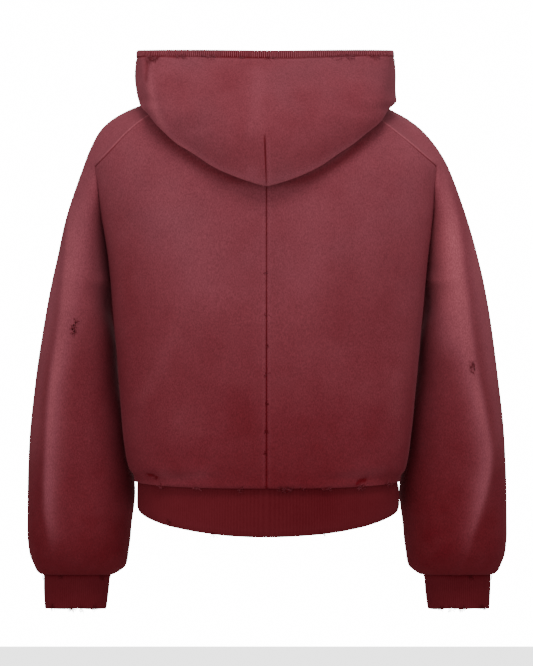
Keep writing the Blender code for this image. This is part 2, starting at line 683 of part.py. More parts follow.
def zip_line():
    """Return the points of the front edge and the tape's outer edge, on the tapes' front face."""
    front = torso_panel(True)
    hem = band_panel(front[:, 0], True)
    edge = np.concatenate((front[0, ::-1], hem[1:, 0]))
    inside = np.concatenate((front[1, ::-1], hem[1:, 1]))
    share = (TAPE_OUTER_EDGE - edge[:, :1]) / (inside[:, :1] - edge[:, :1])
    along = np.gradient(edge, axis=0)
    out = np.stack((np.zeros(len(edge)), -along[:, 2], along[:, 1]), axis=1)
    out /= np.linalg.norm(out, axis=1)[:, None]
    behind = out * (RIB + SEAM_GAP)
    return edge - behind, mix(edge, inside, share) - behind, out


def add_tapes(edge, outside, out):
    """Add the zip's two tapes, as walls behind the front panels' edges."""
    normals = np.repeat(out, 2, axis=0)
    for side_name, side in SIDES.items():
        grid = np.stack((edge, outside), axis=1)
        grid[:, 0, 0] = TAPE_INNER_EDGE
        grid[..., 0] *= side
        add_wall(Sheet(f"zip_tape_{side_name}", grid, TAPE_THICKNESS, DEEP_WINE, flip=side < 0), normals)


def add_zip_box(edge, out):
    """Add the box that holds the zip's lower end, as a short wall on the tapes' last stretch."""
    lift = out[-2:] * (SEAM_GAP + ZIP_BOX_THICKNESS)
    grid = np.stack((edge[-2:] + lift, edge[-2:] + lift), axis=1)
    grid[:, 0, 0] = -ZIP_BOX_HALF
    grid[:, 1, 0] = ZIP_BOX_HALF
    add_wall(Sheet("zip_box", grid, ZIP_BOX_THICKNESS, STEEL), np.repeat(out[-2:], 2, axis=0))


def add_place(name, point, tilt):
    """Add an empty that carries pieces in the zip's own frame."""
    place = bpy.data.objects.new(name, None)
    place.location = point
    place.rotation_euler.x = tilt
    garment.objects.link(place)
    return place


def add_box(name, sizes, place, collection):
    """Add a box from its limits in its place's frame."""
    low = Vector(sizes[0::2])
    high = Vector(sizes[1::2])
    shape = Matrix.Translation((low + high) / 2) @ Matrix.Diagonal((*(high - low), 1.0))
    cube = bmesh.new()
    bmesh.ops.create_cube(cube, size=1.0, matrix=shape)
    mesh = bpy.data.meshes.new(name)
    cube.to_mesh(mesh)
    cube.free()
    obj = bpy.data.objects.new(name, mesh)
    obj.parent = place
    collection.objects.link(obj)
    return obj


def add_boolean(obj, other, operation):
    """Join another object to this one, or cut it out."""
    other.hide_render = True
    other.display_type = "WIRE"
    modifier = obj.modifiers.new(other.name, "BOOLEAN")
    modifier.operation = operation
    modifier.solver = "EXACT"
    modifier.object = other


def round_edges(obj):
    """Round a metal piece's edges a little."""
    modifier = obj.modifiers.new("rounded", "BEVEL")
    modifier.width = METAL_EDGE
    modifier.segments = 2


def add_slider(place):
    """Add the slider: two plates on a post, and the bridge that holds the pull tab."""
    slider = add_box("zip_slider", SLIDER_PLATE, place, garment)
    round_edges(slider)
    for name, sizes in SLIDER_UNIONS.items():
        add_boolean(slider, add_box(f"slider_{name}", sizes, place, cutters), "UNION")
    add_boolean(slider, add_box("slider_bridge_hole", BRIDGE_HOLE, place, cutters), "DIFFERENCE")
    add_material(slider, STEEL, 0.32, 1.0)


def add_cylinder(name, radius, length, shape, place):
    """Add a round cutter or pin, whose axis lies along z before its shape matrix turns it."""
    round_bar = bmesh.new()
    bmesh.ops.create_cone(round_bar, cap_ends=True, segments=16, radius1=radius, radius2=radius,
                          depth=length, matrix=shape)
    mesh = bpy.data.meshes.new(name)
    round_bar.to_mesh(mesh)
    round_bar.free()
    obj = bpy.data.objects.new(name, mesh)
    obj.parent = place
    cutters.objects.link(obj)
    return obj


def add_pull(place):
    """Add the pull tab, whose crossbar turns in the slider's bridge."""
    pull = add_box("zip_pull", PULL_TAB, place, garment)
    round_edges(pull)
    for name, sizes in PULL_UNIONS.items():
        add_boolean(pull, add_box(f"pull_{name}", sizes, place, cutters), "UNION")
    along_x = Matrix.Rotation(math.pi / 2, 4, "Y")
    crossbar = add_cylinder("pull_crossbar", CROSSBAR_RADIUS, CROSSBAR_LENGTH, along_x, place)
    add_boolean(pull, crossbar, "UNION")
    through = Matrix.Translation((0.0, 0.0, PULL_HOLE_HEIGHT)) @ Matrix.Rotation(math.pi / 2, 4, "X")
    depth = 4 * (PULL_TAB[3] - PULL_TAB[2])
    hole = add_cylinder("pull_hole", PULL_HOLE_RADIUS, depth, through, place)
    add_boolean(pull, hole, "DIFFERENCE")
    add_material(pull, STEEL, 0.32, 1.0)


def add_zip():
    """Add the closed zip down the front."""
    edge, outside, out = zip_line()
    add_tapes(edge, outside, out)
    add_zip_box(edge, out)
    top, low = edge[0], edge[1]
    point = mix(top, low, (SLIDER_HEIGHT - top[2]) / (low[2] - top[2]))
    tilt = math.atan2(low[1] - top[1], top[2] - low[2])
    slider_place = add_place("slider_place", (0.0, point[1], point[2]), tilt)
    add_slider(slider_place)
    for name, sizes in STOP.items():
        add_material(add_box(f"zip_stop_{name}", sizes, slider_place, garment), STEEL, 0.32, 1.0)
    pivot = add_place("pull_pivot", (0.0, PIVOT_OUT, 0.0), 0.0)
    pivot.parent = slider_place
    add_pull(pivot)


for old in list(bpy.data.objects):
    bpy.data.objects.remove(old)
garment = bpy.data.collections.new("zip_hoodie")
cutters = bpy.data.collections.new("zip_hoodie_cutters")
bpy.context.scene.collection.children.link(garment)
bpy.context.scene.collection.children.link(cutters)

cloth = cloth_sheets()
cloth_normals = shared_normals(cloth)
for sheet in cloth:
    add_wall(sheet, cloth_normals[sheet.name])
add_zip()
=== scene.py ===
"""An oversized raglan zip hoodie in washed brushed fleece, as it looks when worn, in metres.

The back of the garment faces -Y, +Z is up, and the wearer's right arm is at +X.
"""

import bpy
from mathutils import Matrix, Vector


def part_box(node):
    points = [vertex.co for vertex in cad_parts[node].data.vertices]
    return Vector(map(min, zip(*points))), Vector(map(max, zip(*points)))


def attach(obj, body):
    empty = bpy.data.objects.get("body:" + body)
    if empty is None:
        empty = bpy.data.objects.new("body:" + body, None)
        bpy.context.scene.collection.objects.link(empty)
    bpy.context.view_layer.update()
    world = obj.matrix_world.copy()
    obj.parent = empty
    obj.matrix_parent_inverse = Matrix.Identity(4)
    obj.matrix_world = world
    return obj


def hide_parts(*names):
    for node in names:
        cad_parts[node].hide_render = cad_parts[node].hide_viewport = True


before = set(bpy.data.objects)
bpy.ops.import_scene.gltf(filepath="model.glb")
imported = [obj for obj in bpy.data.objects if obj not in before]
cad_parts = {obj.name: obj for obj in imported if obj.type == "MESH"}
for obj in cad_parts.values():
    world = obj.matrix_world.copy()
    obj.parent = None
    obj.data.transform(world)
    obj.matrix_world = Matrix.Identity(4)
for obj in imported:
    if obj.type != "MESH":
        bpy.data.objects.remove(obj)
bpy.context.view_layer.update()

import math

import bpy
import numpy as np
from mathutils import Vector, noise

# The two half backs, cut from heavy brushed fleece with a raglan edge and sewn together down the
# centre back. Each is a thin shell on the torso's surface, which hangs out over the hem band.
FLEECE = 0.0024
SIDES = {"left": -1, "right": 1}
BODY = {                     # height, half width, then y of the side edge, of the back and of the front
    "height": (0.034, 0.018, -0.006, -0.027, -0.045, -0.072, -0.0965, -0.125, -0.1755, -0.243, -0.3195,
               -0.444, -0.516, -0.549, -0.5655, -0.578),
    "half": (0.100, 0.138, 0.182, 0.2215, 0.2435, 0.2590, 0.2585, 0.2535, 0.2475, 0.2385, 0.231,
             0.220, 0.2125, 0.2060, 0.1940, 0.1930),
    "side_y": (0.000, -0.002, -0.008, -0.015, -0.022, -0.032, -0.038, -0.040, -0.039, -0.041, -0.045,
               -0.045, -0.042, -0.036, -0.028, -0.020),
    "back_y": (-0.078, -0.088, -0.108, -0.122, -0.131, -0.139, -0.144, -0.147, -0.150, -0.151, -0.150,
               -0.147, -0.143, -0.140, -0.137, -0.129),
    "front_y": (0.052, 0.056, 0.064, 0.073, 0.080, 0.091, 0.101, 0.110, 0.121, 0.127, 0.128,
                0.127, 0.124, 0.121, 0.117, 0.112),
}
BODY_SQUARENESS = (2.5, 2.1)           # superellipse exponents behind and in front
ASKEW = {"height": (0.034, 0.002, -0.014, -0.030, -0.072, -0.100, -0.270, -0.444, -0.578),
         "shift": (-0.002, -0.002, -0.0095, -0.009, -0.0035, -0.001, 0.002, 0.001, 0.001)}
NECKLINE = {                 # turn from the centre back, 0, to the centre front, 1
    "turn": (0.00, 0.14, 0.28, 0.40, 0.50, 0.60, 0.67, 0.74, 0.87),
    "degrees": (0.0, 14.5, 35.0, 59.0, 90.0, 129.0, 148.0, 159.0, 171.0),
    "height": (0.018, 0.020, 0.024, 0.0295, 0.032, 0.024, 0.008, -0.0085, -0.040),
}
NECK_FRONT = -0.058
BACK_NECK_TURN = 0.28
FRONT_NECK_TURN = 0.74
NECK_STEPS = 4                         # the share of a panel's upper edge that lies on the neckline
ARMHOLE_STEPS = 10                     # and the share along the armhole
BACK_RAGLAN = ((-0.0277, 0.175), (-0.0965, 0.2547))
FRONT_RAGLAN = ((-0.060, 0.160), (-0.135, 0.232))
ARMPIT = -0.270
SIDE_SEAM_ANGLE = math.radians(108)
HEM_SEAM = -0.565
HEM_DROP = {False: 0.0095, True: 0.006}   # how much lower the hem seam is behind, and in front
ZIP_HALF_OPENING = 0.0045
CLOTH_STEP = 0.0046                    # spacing of a shell's grid lines away from the seams
SEAM_LINES = (0.0, 0.0011, 0.0023, 0.0037, 0.0053, 0.0072, 0.0100, 0.0140)
PANEL_SAMPLES = 240                    # points on a trial line across a panel, along a piece and along a fold
LINE_SAMPLES = 600
FOLD_SAMPLES = 60
FOLD_END = (0.15, 0.25)                # a fold's strength at its tip, and the share over which it grows
FACES_AWAY = 100                       # outweighs any distance, so that only the back is picked
SHARP_ANGLE = math.radians(60)


def curve_through(keys, values):
    """Return a smooth function through the points that never swings past them."""
    order = np.argsort(keys)
    keys = np.array(keys, float)[order]
    values = np.array(values, float)[order]
    steps = np.diff(keys)
    slopes = np.diff(values) / steps
    product = slopes[:-1] * slopes[1:]
    total = np.where(product > 0, slopes[:-1] + slopes[1:], 1.0)
    inner = np.where(product > 0, 2 * product / total, 0.0)
    tangents = np.concatenate(([slopes[0]], inner, [slopes[-1]]))

    def value(key):
        key = np.clip(key, keys[0], keys[-1])
        cell = np.clip(np.searchsorted(keys, key) - 1, 0, len(steps) - 1)
        step = steps[cell]
        t = (key - keys[cell]) / step
        start = (1 + 2 * t) * (1 - t) ** 2 * values[cell] + t * (1 - t) ** 2 * step * tangents[cell]
        end = t * t * (3 - 2 * t) * values[cell + 1] + t * t * (t - 1) * step * tangents[cell + 1]
        return start + end

    return value


def curves_of(table):
    """Return a smooth function of a table's first column for each of its other columns."""
    names = list(table)
    return {name: curve_through(table[names[0]], table[name]) for name in names[1:]}


def ease(t):
    """Return a soft step from 0 to 1."""
    t = np.clip(t, 0.0, 1.0)
    return t * t * (3 - 2 * t)


def bell(distance, width):
    """Return 1 at no distance, falling off softly on both sides."""
    return np.exp(-(distance / width) ** 2)


def mix(a, b, t):
    """Return the value a share t of the way from a to b."""
    return a + (b - a) * t


def section(angle, sizes, squareness):
    """Return x and y on a level section: 0 is the centre back, pi/2 the side, pi the front."""
    half, side_y, back_y, front_y = sizes
    sine, cosine = np.sin(angle), np.cos(angle)
    behind = cosine > 0
    exponent = 2 / np.where(behind, squareness[0], squareness[1])
    depth = np.where(behind, side_y - back_y, front_y - side_y)
    x = half * np.sign(sine) * np.abs(sine) ** exponent
    return x, side_y - depth * np.sign(cosine) * np.abs(cosine) ** exponent


def angle_at(x, half, squareness, in_front):
    """Return a section's angle where it is x from the middle."""
    share = x / half
    lean = np.arcsin(np.clip(np.sign(share) * np.abs(share) ** (squareness[in_front] / 2), -1, 1))
    return math.pi - lean if in_front else lean


body = curves_of(BODY)
askew = curves_of(ASKEW)["shift"]


def body_point(angle, height):
    """Return points of the torso's outer face on the right side."""
    height = np.asarray(height, float)
    sizes = [body[name](height) for name in ("half", "side_y", "back_y", "front_y")]
    x, y = section(angle, sizes, BODY_SQUARENESS)
    return np.stack(np.broadcast_arrays(x, y, height), axis=-1)


def body_angle(x, height, in_front):
    """Return the torso's angle at a distance from the middle."""
    return angle_at(x, body["half"](height), BODY_SQUARENESS, in_front)


def on_side(points, side, shift=askew):
    """Mirror points to their side and shift them as the garment hangs."""
    points = np.array(points)
    reach = np.clip(np.abs(points[..., 0]) / 0.2, 0, 1)
    points[..., 0] = side * points[..., 0] + shift(points[..., 2]) * reach
    return points


neck_angle = curve_through(
    (*NECKLINE["turn"], 1.0),
    (*np.radians(NECKLINE["degrees"]), float(body_angle(ZIP_HALF_OPENING, NECK_FRONT, True))))
neck_height = curve_through((*NECKLINE["turn"], 1.0), (*NECKLINE["height"], NECK_FRONT))
raglan = {}
for in_front, rows, seam_turn in ((False, BACK_RAGLAN, BACK_NECK_TURN), (True, FRONT_RAGLAN,
                                                                         FRONT_NECK_TURN)):
    start = body_point(neck_angle(seam_turn), neck_height(seam_turn))
    raglan[in_front] = curve_through(*zip((start[2], start[0]), *rows))
RAGLAN_CORNER = {False: BACK_RAGLAN[-1][0], True: FRONT_RAGLAN[-1][0]}
NECK_TURN = {False: BACK_NECK_TURN, True: FRONT_NECK_TURN}


def armhole_height(down, in_front):
    """Return the height a share of the way down the armhole, from the neckline to the armpit."""
    return mix(neck_height(NECK_TURN[in_front]), ARMPIT, down)


def armhole_angle(height, in_front):
    """Return the angle at which the torso meets the sleeve."""
    corner = RAGLAN_CORNER[in_front]
    level = np.maximum(height, corner)
    seam = body_angle(raglan[in_front](level), level, in_front)
    return mix(seam, SIDE_SEAM_ANGLE, ease((corner - height) / (corner - ARMPIT)))


def hem_height(angle, in_front):
    """Return the height of the hem seam."""
    return HEM_SEAM - HEM_DROP[in_front] * np.abs(np.cos(angle))


def torso_surface(share, rise, in_front):
    """Return points of a half panel, from the middle, 0, to the side, 1, and from hem, 0, to top, 1."""
    steps = share * (NECK_STEPS + ARMHOLE_STEPS)
    turn = mix(float(in_front), NECK_TURN[in_front], np.clip(steps / NECK_STEPS, 0, 1))
    edge_height = armhole_height(np.clip((steps - NECK_STEPS) / ARMHOLE_STEPS, 0, 1), in_front)
    on_neck = steps < NECK_STEPS
    top_angle = np.where(on_neck, neck_angle(turn), armhole_angle(edge_height, in_front))
    top_height = np.where(on_neck, neck_height(turn), edge_height)
    middle = float(body_angle(ZIP_HALF_OPENING, HEM_SEAM, True)) if in_front else 0.0
    hem_angle = mix(middle, SIDE_SEAM_ANGLE, share)
    rise = mix(rise, 1 - (1 - rise) ** 1.25, 0.5)
    height = mix(hem_height(hem_angle, in_front), top_height, rise)
    angle = mix(hem_angle, top_angle, ease(rise) * 0.5 + rise * 0.5)
    if in_front:
        edge = mix(middle, neck_angle(1.0), ease(rise) * 0.5 + rise * 0.5)
        straight = body_angle(ZIP_HALF_OPENING, height, True)
        angle = angle + (straight - edge) * np.clip(1 - steps, 0, 1)
    return body_point(angle, height)


def grid_lines(length, step=CLOTH_STEP, ends=SEAM_LINES):
    """Return places along a length, close together beside the seams at both ends."""
    ends = np.array(ends)
    count = max(int((length - 2 * ends[-1]) / step), 1)
    between = np.linspace(ends[-1], length - ends[-1], count + 1)
    return np.concatenate((ends[:-1], between, length - ends[-2::-1])) / length


def reach_along(line):
    """Return the length from the start of a line to each of its points."""
    return np.concatenate(([0], np.cumsum(np.linalg.norm(np.diff(line, axis=0), axis=1))))


def spaced(line, fine, step=CLOTH_STEP, ends=SEAM_LINES):
    """Return the parameters at which grid lines cross a line that is known at fine parameters."""
    reach = reach_along(line)
    return np.interp(grid_lines(reach[-1], step, ends) * reach[-1], reach, fine)


def by_length(surface):
    """Return the parameters that space a surface's lines by length, across and along its middle."""
    fine = np.linspace(0, 1, PANEL_SAMPLES)
    middle = np.full(PANEL_SAMPLES, 0.5)
    return np.meshgrid(spaced(surface(fine, middle), fine), spaced(surface(middle, fine), fine))


def link_grid(rows, columns, wrap_from):
    """Return the index of each grid point, where from one row on the last column is the first."""
    index = np.arange(rows * columns).reshape(rows, columns)
    if wrap_from is not None:
        index[wrap_from:, -1] = index[wrap_from:, 0]
    return index


def quads_of(index):
    """Return a grid's faces."""
    corners = (index[:-1, :-1], index[:-1, 1:], index[1:, 1:], index[1:, :-1])
    return np.stack(corners, axis=-1).reshape(-1, 4)


def normals_of(grid, flip, wrap_from=None):
    """Return the outward unit normal at each point of a grid."""
    index = link_grid(*grid.shape[:2], wrap_from)
    quads = quads_of(index)
    points = grid.reshape(-1, 3)
    a, b, c, d = (points[quads[:, i]] for i in range(4))
    across = np.cross(c - a, d - b)
    total = np.zeros_like(points)
    for i in range(4):
        np.add.at(total, quads[:, i], across)
    total = total[index.ravel()].reshape(grid.shape)
    total /= np.maximum(np.linalg.norm(total, axis=-1, keepdims=True), 1e-12)
    return -total if flip else total


def wave(points, scale, seed):
    """Return soft unevenness between -1 and 1 at each point."""
    flat = points.reshape(-1, 3) * scale + seed
    return np.array([noise.noise(Vector(p)) for p in flat]).reshape(points.shape[:-1])


def unit(vectors):
    """Return vectors of length one."""
    return vectors / np.maximum(np.linalg.norm(vectors, axis=-1, keepdims=True), 1e-12)


def press(points, folds):
    """Return the height of given folds at each point: ridges are positive, troughs negative.

    A fold follows a smooth line through places in x and z, seen from behind. It has a width on its
    left and one on its right, looking down along it, and it fades out over its ends.
    """
    place = points[..., (0, 2)].reshape(-1, 2)
    height = np.zeros(len(place))
    tip, grown = FOLD_END
    for places, left, right, rise in folds:
        line = np.array(places)
        reach = reach_along(line)
        fine = np.linspace(0, reach[-1], FOLD_SAMPLES)
        path = np.stack([curve_through(reach, line[:, i])(fine) for i in (0, 1)], axis=1)
        run = unit(np.gradient(path, axis=0))
        apart = place[:, None] - path
        close = np.argmin((apart ** 2).sum(axis=-1), axis=1)
        away = apart[np.arange(len(place)), close]
        off = away[:, 0] * run[close, 1] - away[:, 1] * run[close, 0]
        along = (away * run[close]).sum(axis=1)
        t = close / (FOLD_SAMPLES - 1)
        width = np.where(off > 0, left, right)
        over = np.exp(-(off / width) ** 2 - (along / max(left, right)) ** 2)
        height += rise * over * ease(tip + t / grown) * ease(tip + (1 - t) / grown)
    return height.reshape(points.shape[:-1])


def stand(name, data):
    """Put a mesh, a lamp or the camera in the scene."""
    made = bpy.data.objects.new(name, data)
    bpy.context.scene.collection.objects.link(made)
    return made


def mesh_with_wear_and_shading(name, points, faces, wear_and_shading):
    """Return a smooth mesh whose points carry how worn the cloth is, and its painted shade and highlights."""
    mesh = bpy.data.meshes.new(name)
    mesh.from_pydata(points.tolist(), [], faces)
    mark = mesh.attributes.new("wear_and_shading", "FLOAT", "POINT")
    mark.data.foreach_set("value", wear_and_shading.astype(np.float32))
    mesh.shade_smooth()
    return mesh


def shell(name, grid, normals, thickness, flip, wrap_from=None, wear_and_shading=None, drop=None):
    """Make a thin closed shell: the outer face, an inner one a wall behind it, and the edges between."""
    rows, columns = grid.shape[:2]
    index = link_grid(rows, columns, wrap_from)
    quads = quads_of(index)
    if drop is not None:
        quads = quads[~(drop[:-1, :-1].ravel())]
    if flip:
        quads = quads[:, ::-1]
    used = np.unique(quads)
    place = np.full(rows * columns, -1)
    place[used] = np.arange(len(used))
    quads = place[quads]
    outer = grid.reshape(-1, 3)[used]
    walls = np.broadcast_to(thickness, (rows, columns)).ravel()[used]
    inner = outer - normals.reshape(-1, 3)[used] * walls[:, None]
    count = len(used)
    edges = np.concatenate([quads[:, (i, (i + 1) % 4)] for i in range(4)])
    key = edges[:, 0].astype(np.int64) * count + edges[:, 1]
    back = edges[:, 1].astype(np.int64) * count + edges[:, 0]
    border = edges[~np.isin(key, back)]
    rim = np.stack((border[:, 1], border[:, 0], border[:, 0] + count, border[:, 1] + count), axis=1)
    faces = np.concatenate((quads, quads[:, ::-1] + count, rim))
    values = np.zeros(rows * columns) if wear_and_shading is None else np.asarray(wear_and_shading, float).ravel()
    mesh = mesh_with_wear_and_shading(name, np.concatenate((outer, inner)), faces.tolist(), np.tile(values[used], 2))
    mesh.set_sharp_from_angle(angle=SHARP_ANGLE)
    return stand(name, mesh)


def seam_distance(grid, edge):
    """Return each point's distance from one edge of its grid: left, right, bottom or top."""
    axis = 1 if edge in ("left", "right") else 0
    turned = grid if edge in ("left", "bottom") else np.flip(grid, axis)
    steps = np.linalg.norm(np.diff(turned, axis=axis), axis=-1)
    start = np.zeros((grid.shape[0], 1) if axis else (1, grid.shape[1]))
    reach = np.concatenate((start, np.cumsum(steps, axis=axis)), axis=axis)
    return reach if edge in ("left", "bottom") else np.flip(reach, axis)


def rise_from(distance, rise=0.0010, width=0.0026):
    """Return how far cloth swells out beside a seam, which stays down at its own place."""
    return rise * (1 - bell(distance, width))


def seam_wear(distance, dark=0.55, pale=0.10, width=0.0013):
    """Return how deep the dye is in a seam, and how worn the ridge beside it."""
    return pale * bell(distance - 0.0042, 0.0018) - dark * bell(distance, width)


def edges_of(grid):
    """Return each point's distance from each of the four edges of its grid."""
    return {edge: seam_distance(grid, edge) for edge in ("left", "right", "bottom", "top")}


def nearest(edges):
    """Return each point's distance from the nearest edge."""
    return np.minimum.reduce(list(edges.values()))


def places_along(line, pitch, start=0.0, end=0.0):
    """Return how far along a line, in grid steps, evenly spaced places lie."""
    reach = reach_along(line)
    count = int((reach[-1] - start - end) / pitch)
    return np.interp(start + pitch * np.arange(count + 1), reach, np.arange(len(line)))


def taken_at(rows, steps):
    """Return values between the rows of a table, at places counted in rows."""
    low = np.clip(np.floor(steps).astype(int), 0, len(rows) - 2)
    part = (steps - low).reshape((-1,) + (1,) * (rows.ndim - 1))
    return rows[low] * (1 - part) + rows[low + 1] * part


def threads(name, paths, ups, half_width, half_height, wear_and_shading=0.0, taper=0.5, sides=6):
    """Make one mesh of many closed thin threads, each of which follows a row of points."""
    paths = np.asarray(paths, float)
    count, length = paths.shape[:2]
    run = unit(np.gradient(paths, axis=1))
    side = unit(np.cross(run, np.broadcast_to(ups, paths.shape)))
    up = np.cross(side, run)
    angles = np.linspace(0, 2 * math.pi, sides, endpoint=False)[:, None]
    thin = (1 - taper * np.linspace(-1, 1, length) ** 4)[:, None, None]
    ring = side[:, :, None] * np.cos(angles) * half_width + up[:, :, None] * np.sin(angles) * half_height
    points = paths[:, :, None] + ring * thin
    index = np.arange(count * length * sides).reshape(count, length, sides)
    here, there = index[:, :-1], index[:, 1:]
    quads = np.stack((here, there, np.roll(there, -1, 2), np.roll(here, -1, 2)), axis=-1).reshape(-1, 4)
    ends = np.concatenate((index[:, 0], index[:, -1, ::-1]))
    each = np.broadcast_to(np.reshape(wear_and_shading, (-1, 1)), (count, length * sides))
    return stand(name, mesh_with_wear_and_shading(name, points.reshape(-1, 3), quads.tolist() + ends.tolist(), each.ravel()))


def sew_on(piece, material):
    """Give a piece its finish, and let it move with the garment."""
    piece.data.materials.append(material)
    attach(piece, "garment")
    return piece


FRAY_POINTS = 10
FRAY_RADIUS = 0.00028


def frays(seed, middle, normal, along, reach, hang, count):
    """Return the paths of curled loose threads, clumped around a place on a seam."""
    random = np.random.default_rng(seed)
    down = np.cross(along, normal)
    down = down * (1 if down[2] < 0 else -1)
    spread = random.uniform(-1, 1, (count, 1))
    start = middle + along * spread * reach + down * random.uniform(0, 1, (count,
                                                                           1)) * hang * (1 - spread ** 2)
    turning = random.normal(0, 0.75, (count, FRAY_POINTS)).cumsum(axis=1)
    heading = random.uniform(0, 2 * math.pi, (count, 1)) + turning
    step = random.uniform(0.0004, 0.0009, (count, 1, 1))
    moves = (along * np.cos(heading)[..., None] + down * np.sin(heading)[..., None]) * step
    lift = 0.0006 + 0.0010 * random.uniform(0, 1, (count, 1)) * np.sin(np.linspace(0, math.pi, FRAY_POINTS))
    return start[:, None] + moves.cumsum(axis=1) + normal * lift[..., None]


def shown_at(surface, normals, x, z):
    """Return the row and column at which a surface shows x and z from behind."""
    seen = (surface[..., 0] - x) ** 2 + (surface[..., 2] - z) ** 2 + FACES_AWAY * (normals[..., 1] > 0)
    return np.unravel_index(np.argmin(seen), seen.shape)


def spot(surface, normals, x, z):
    """Return a place that shows at x and z from behind, with its outward and level directions."""
    place = shown_at(surface, normals, x, z)
    out = normals[place]
    return surface[place], out, unit(np.cross(out, (0.0, 0.0, 1.0)))


def fray_clumps(name, surface, normals, clumps, seed, palest=0.05):
    """Make loose threads; a clump has its x and z from behind, half width, hang and number of threads."""
    paths = [frays(seed + i, *spot(surface, normals, x, z), half_width, hang, count)
             for i, (x, z, half_width, hang, count) in enumerate(clumps)]
    paths = np.concatenate(paths)
    shades = np.random.default_rng(seed).uniform(palest - 0.9, palest, len(paths))
    return threads(name, paths, (0.0, -1.0, 0.2), FRAY_RADIUS, FRAY_RADIUS, shades)


class Shade:
    """A value in a material. Sums and products of it add Math nodes, and make() adds any other node."""

    def __init__(self, tree, socket=None):
        self.tree = tree
        self.socket = socket

    def make(self, kind, settings=None, sockets=None, output=0):
        """Add a node, set it up, feed its sockets, and return one of its outputs."""
        made = self.tree.nodes.new("ShaderNode" + kind)
        for name, value in (settings or {}).items():
            if name == "stops":
                for stop, (place, colour) in zip(made.color_ramp.elements, value):
                    stop.position = place
                    stop.color = (*colour, 1.0)
            else:
                setattr(made, name, value)
        for name, value in (sockets or {}).items():
            if isinstance(value, Shade):
                self.tree.links.new(value.socket, made.inputs[name])
            else:
                made.inputs[name].default_value = value
        return Shade(self.tree, made.outputs[output])

    def maths(self, operation, first, second):
        return self.make("Math", {"operation": operation}, {0: first, 1: second})

    def __add__(self, other):
        return self.maths("ADD", self, other)

    def __sub__(self, other):
        return self.maths("SUBTRACT", self, other)

    def __mul__(self, other):
        return self.maths("MULTIPLY", self, other)

    def ranged(self, low, high, to_low=0.0, to_high=1.0, interpolation="SMOOTHSTEP"):
        """Return this value taken softly from one range to another."""
        return self.make("MapRange", {"interpolation_type": interpolation},
                         {"Value": self, "From Min": low, "From Max": high, "To Min": to_low,
                          "To Max": to_high})

    def noise(self, scale, detail=2.0, roughness=0.5):
        """Return a cloudy pattern at this place, from 0 to 1."""
        return self.make("TexNoise", {}, {"Vector": self, "Scale": scale, "Detail": detail,
                                          "Roughness": roughness})

    def stretched(self, x, y, z):
        """Return this place scaled along each direction."""
        return self.make("VectorMath", {"operation": "MULTIPLY"}, {0: self, 1: (x, y, z)})


def blend_colours(share, low, high, kind="MIX"):
    """Return a colour mixed from two others."""
    wrapped = next(value for value in (share, low, high) if isinstance(value, Shade))
    return wrapped.make("Mix", {"data_type": "RGBA", "blend_type": kind},
                      {"Factor": share, 6: low if isinstance(low, Shade) else (*low, 1.0),
                       7: high if isinstance(high, Shade) else (*high, 1.0)}, output=2)


def new_material(name):
    """Return an empty material, its first wrapped value and its Principled node."""
    material = bpy.data.materials.new(name)
    material.use_nodes = True
    tree = material.node_tree
    return material, Shade(tree), tree.nodes["Principled BSDF"]


def feed(principled, **values):
    """Set or link the sockets of a Principled node; a space in a name is written as an underscore."""
    for name, value in values.items():
        socket = principled.inputs[name.replace("_", " ")]
        if isinstance(value, Shade):
            value.tree.links.new(value.socket, socket)
        else:
            socket.default_value = (*value, 1.0) if isinstance(value, tuple) else value


def feed_cloth(principled, colour, roughness, normal):
    """Give a Principled node the soft, dull face of washed cotton."""
    feed(principled, Base_Color=colour, Roughness=roughness, Sheen_Weight=0.05, Sheen_Roughness=0.40,
         Sheen_Tint=(0.85, 0.25, 0.32), Specular_IOR_Level=0.06, Normal=normal)


PALE_WINE = (0.470, 0.118, 0.148)
FADED_WINE = (0.310, 0.072, 0.095)
WINE = (0.216, 0.036, 0.049)
DEEP_WINE = (0.142, 0.0072, 0.0125)
GREYED_WINE = (0.215, 0.062, 0.080)


def fleece_material():
    """Return brushed fleece: paler with fading at the top, cloudy, grainy and soft all over."""
    material, start, principled = new_material("fleece")
    place = start.make("TexCoord", output=3)
    height = place.make("SeparateXYZ", {}, {0: place}, output=2)
    clouds = place.noise(5.5, 3.0, 0.55)
    mottle = place.noise(42.0, 4.0, 0.62)
    grain = place.stretched(1.0, 1.0, 0.55).noise(620.0, 3.0, 0.7)
    wear_and_shading = start.make("Attribute", {"attribute_name": "wear_and_shading"}, {}, output=2)
    # The marks on the points add wear together with painted shade and painted highlights.
    paleness = height.ranged(-0.86, 0.04) + (clouds - 0.5) * 0.55 + (mottle - 0.5) * 0.22 + wear_and_shading
    colour = blend_colours(paleness.ranged(0.0, 0.5, interpolation="LINEAR"), DEEP_WINE, WINE)
    colour = blend_colours(paleness.ranged(0.5, 1.05, interpolation="LINEAR"), colour, FADED_WINE)
    colour = blend_colours(paleness.ranged(1.05, 1.70, interpolation="LINEAR"), colour, PALE_WINE)
    cast = place.noise(6.5, 3.0, 0.6).ranged(0.42, 0.72, 0.0, 0.45) * height.ranged(-0.45, -0.05)
    colour = blend_colours(cast, colour, GREYED_WINE)
    speckle = grain.ranged(0.36, 0.66, 0.80, 1.17, "LINEAR")
    colour = blend_colours(1.0, colour, speckle, "MULTIPLY")
    nap = place.noise(1400.0, 2.0, 0.6)
    bumps = grain * 0.7 + nap * 0.5 + mottle * 0.8
    normal = start.make("Bump", {}, {"Height": bumps, "Strength": 0.35, "Distance": 0.0006})
    feed_cloth(principled, colour, 0.94, normal)
    return material


fleece = fleece_material()

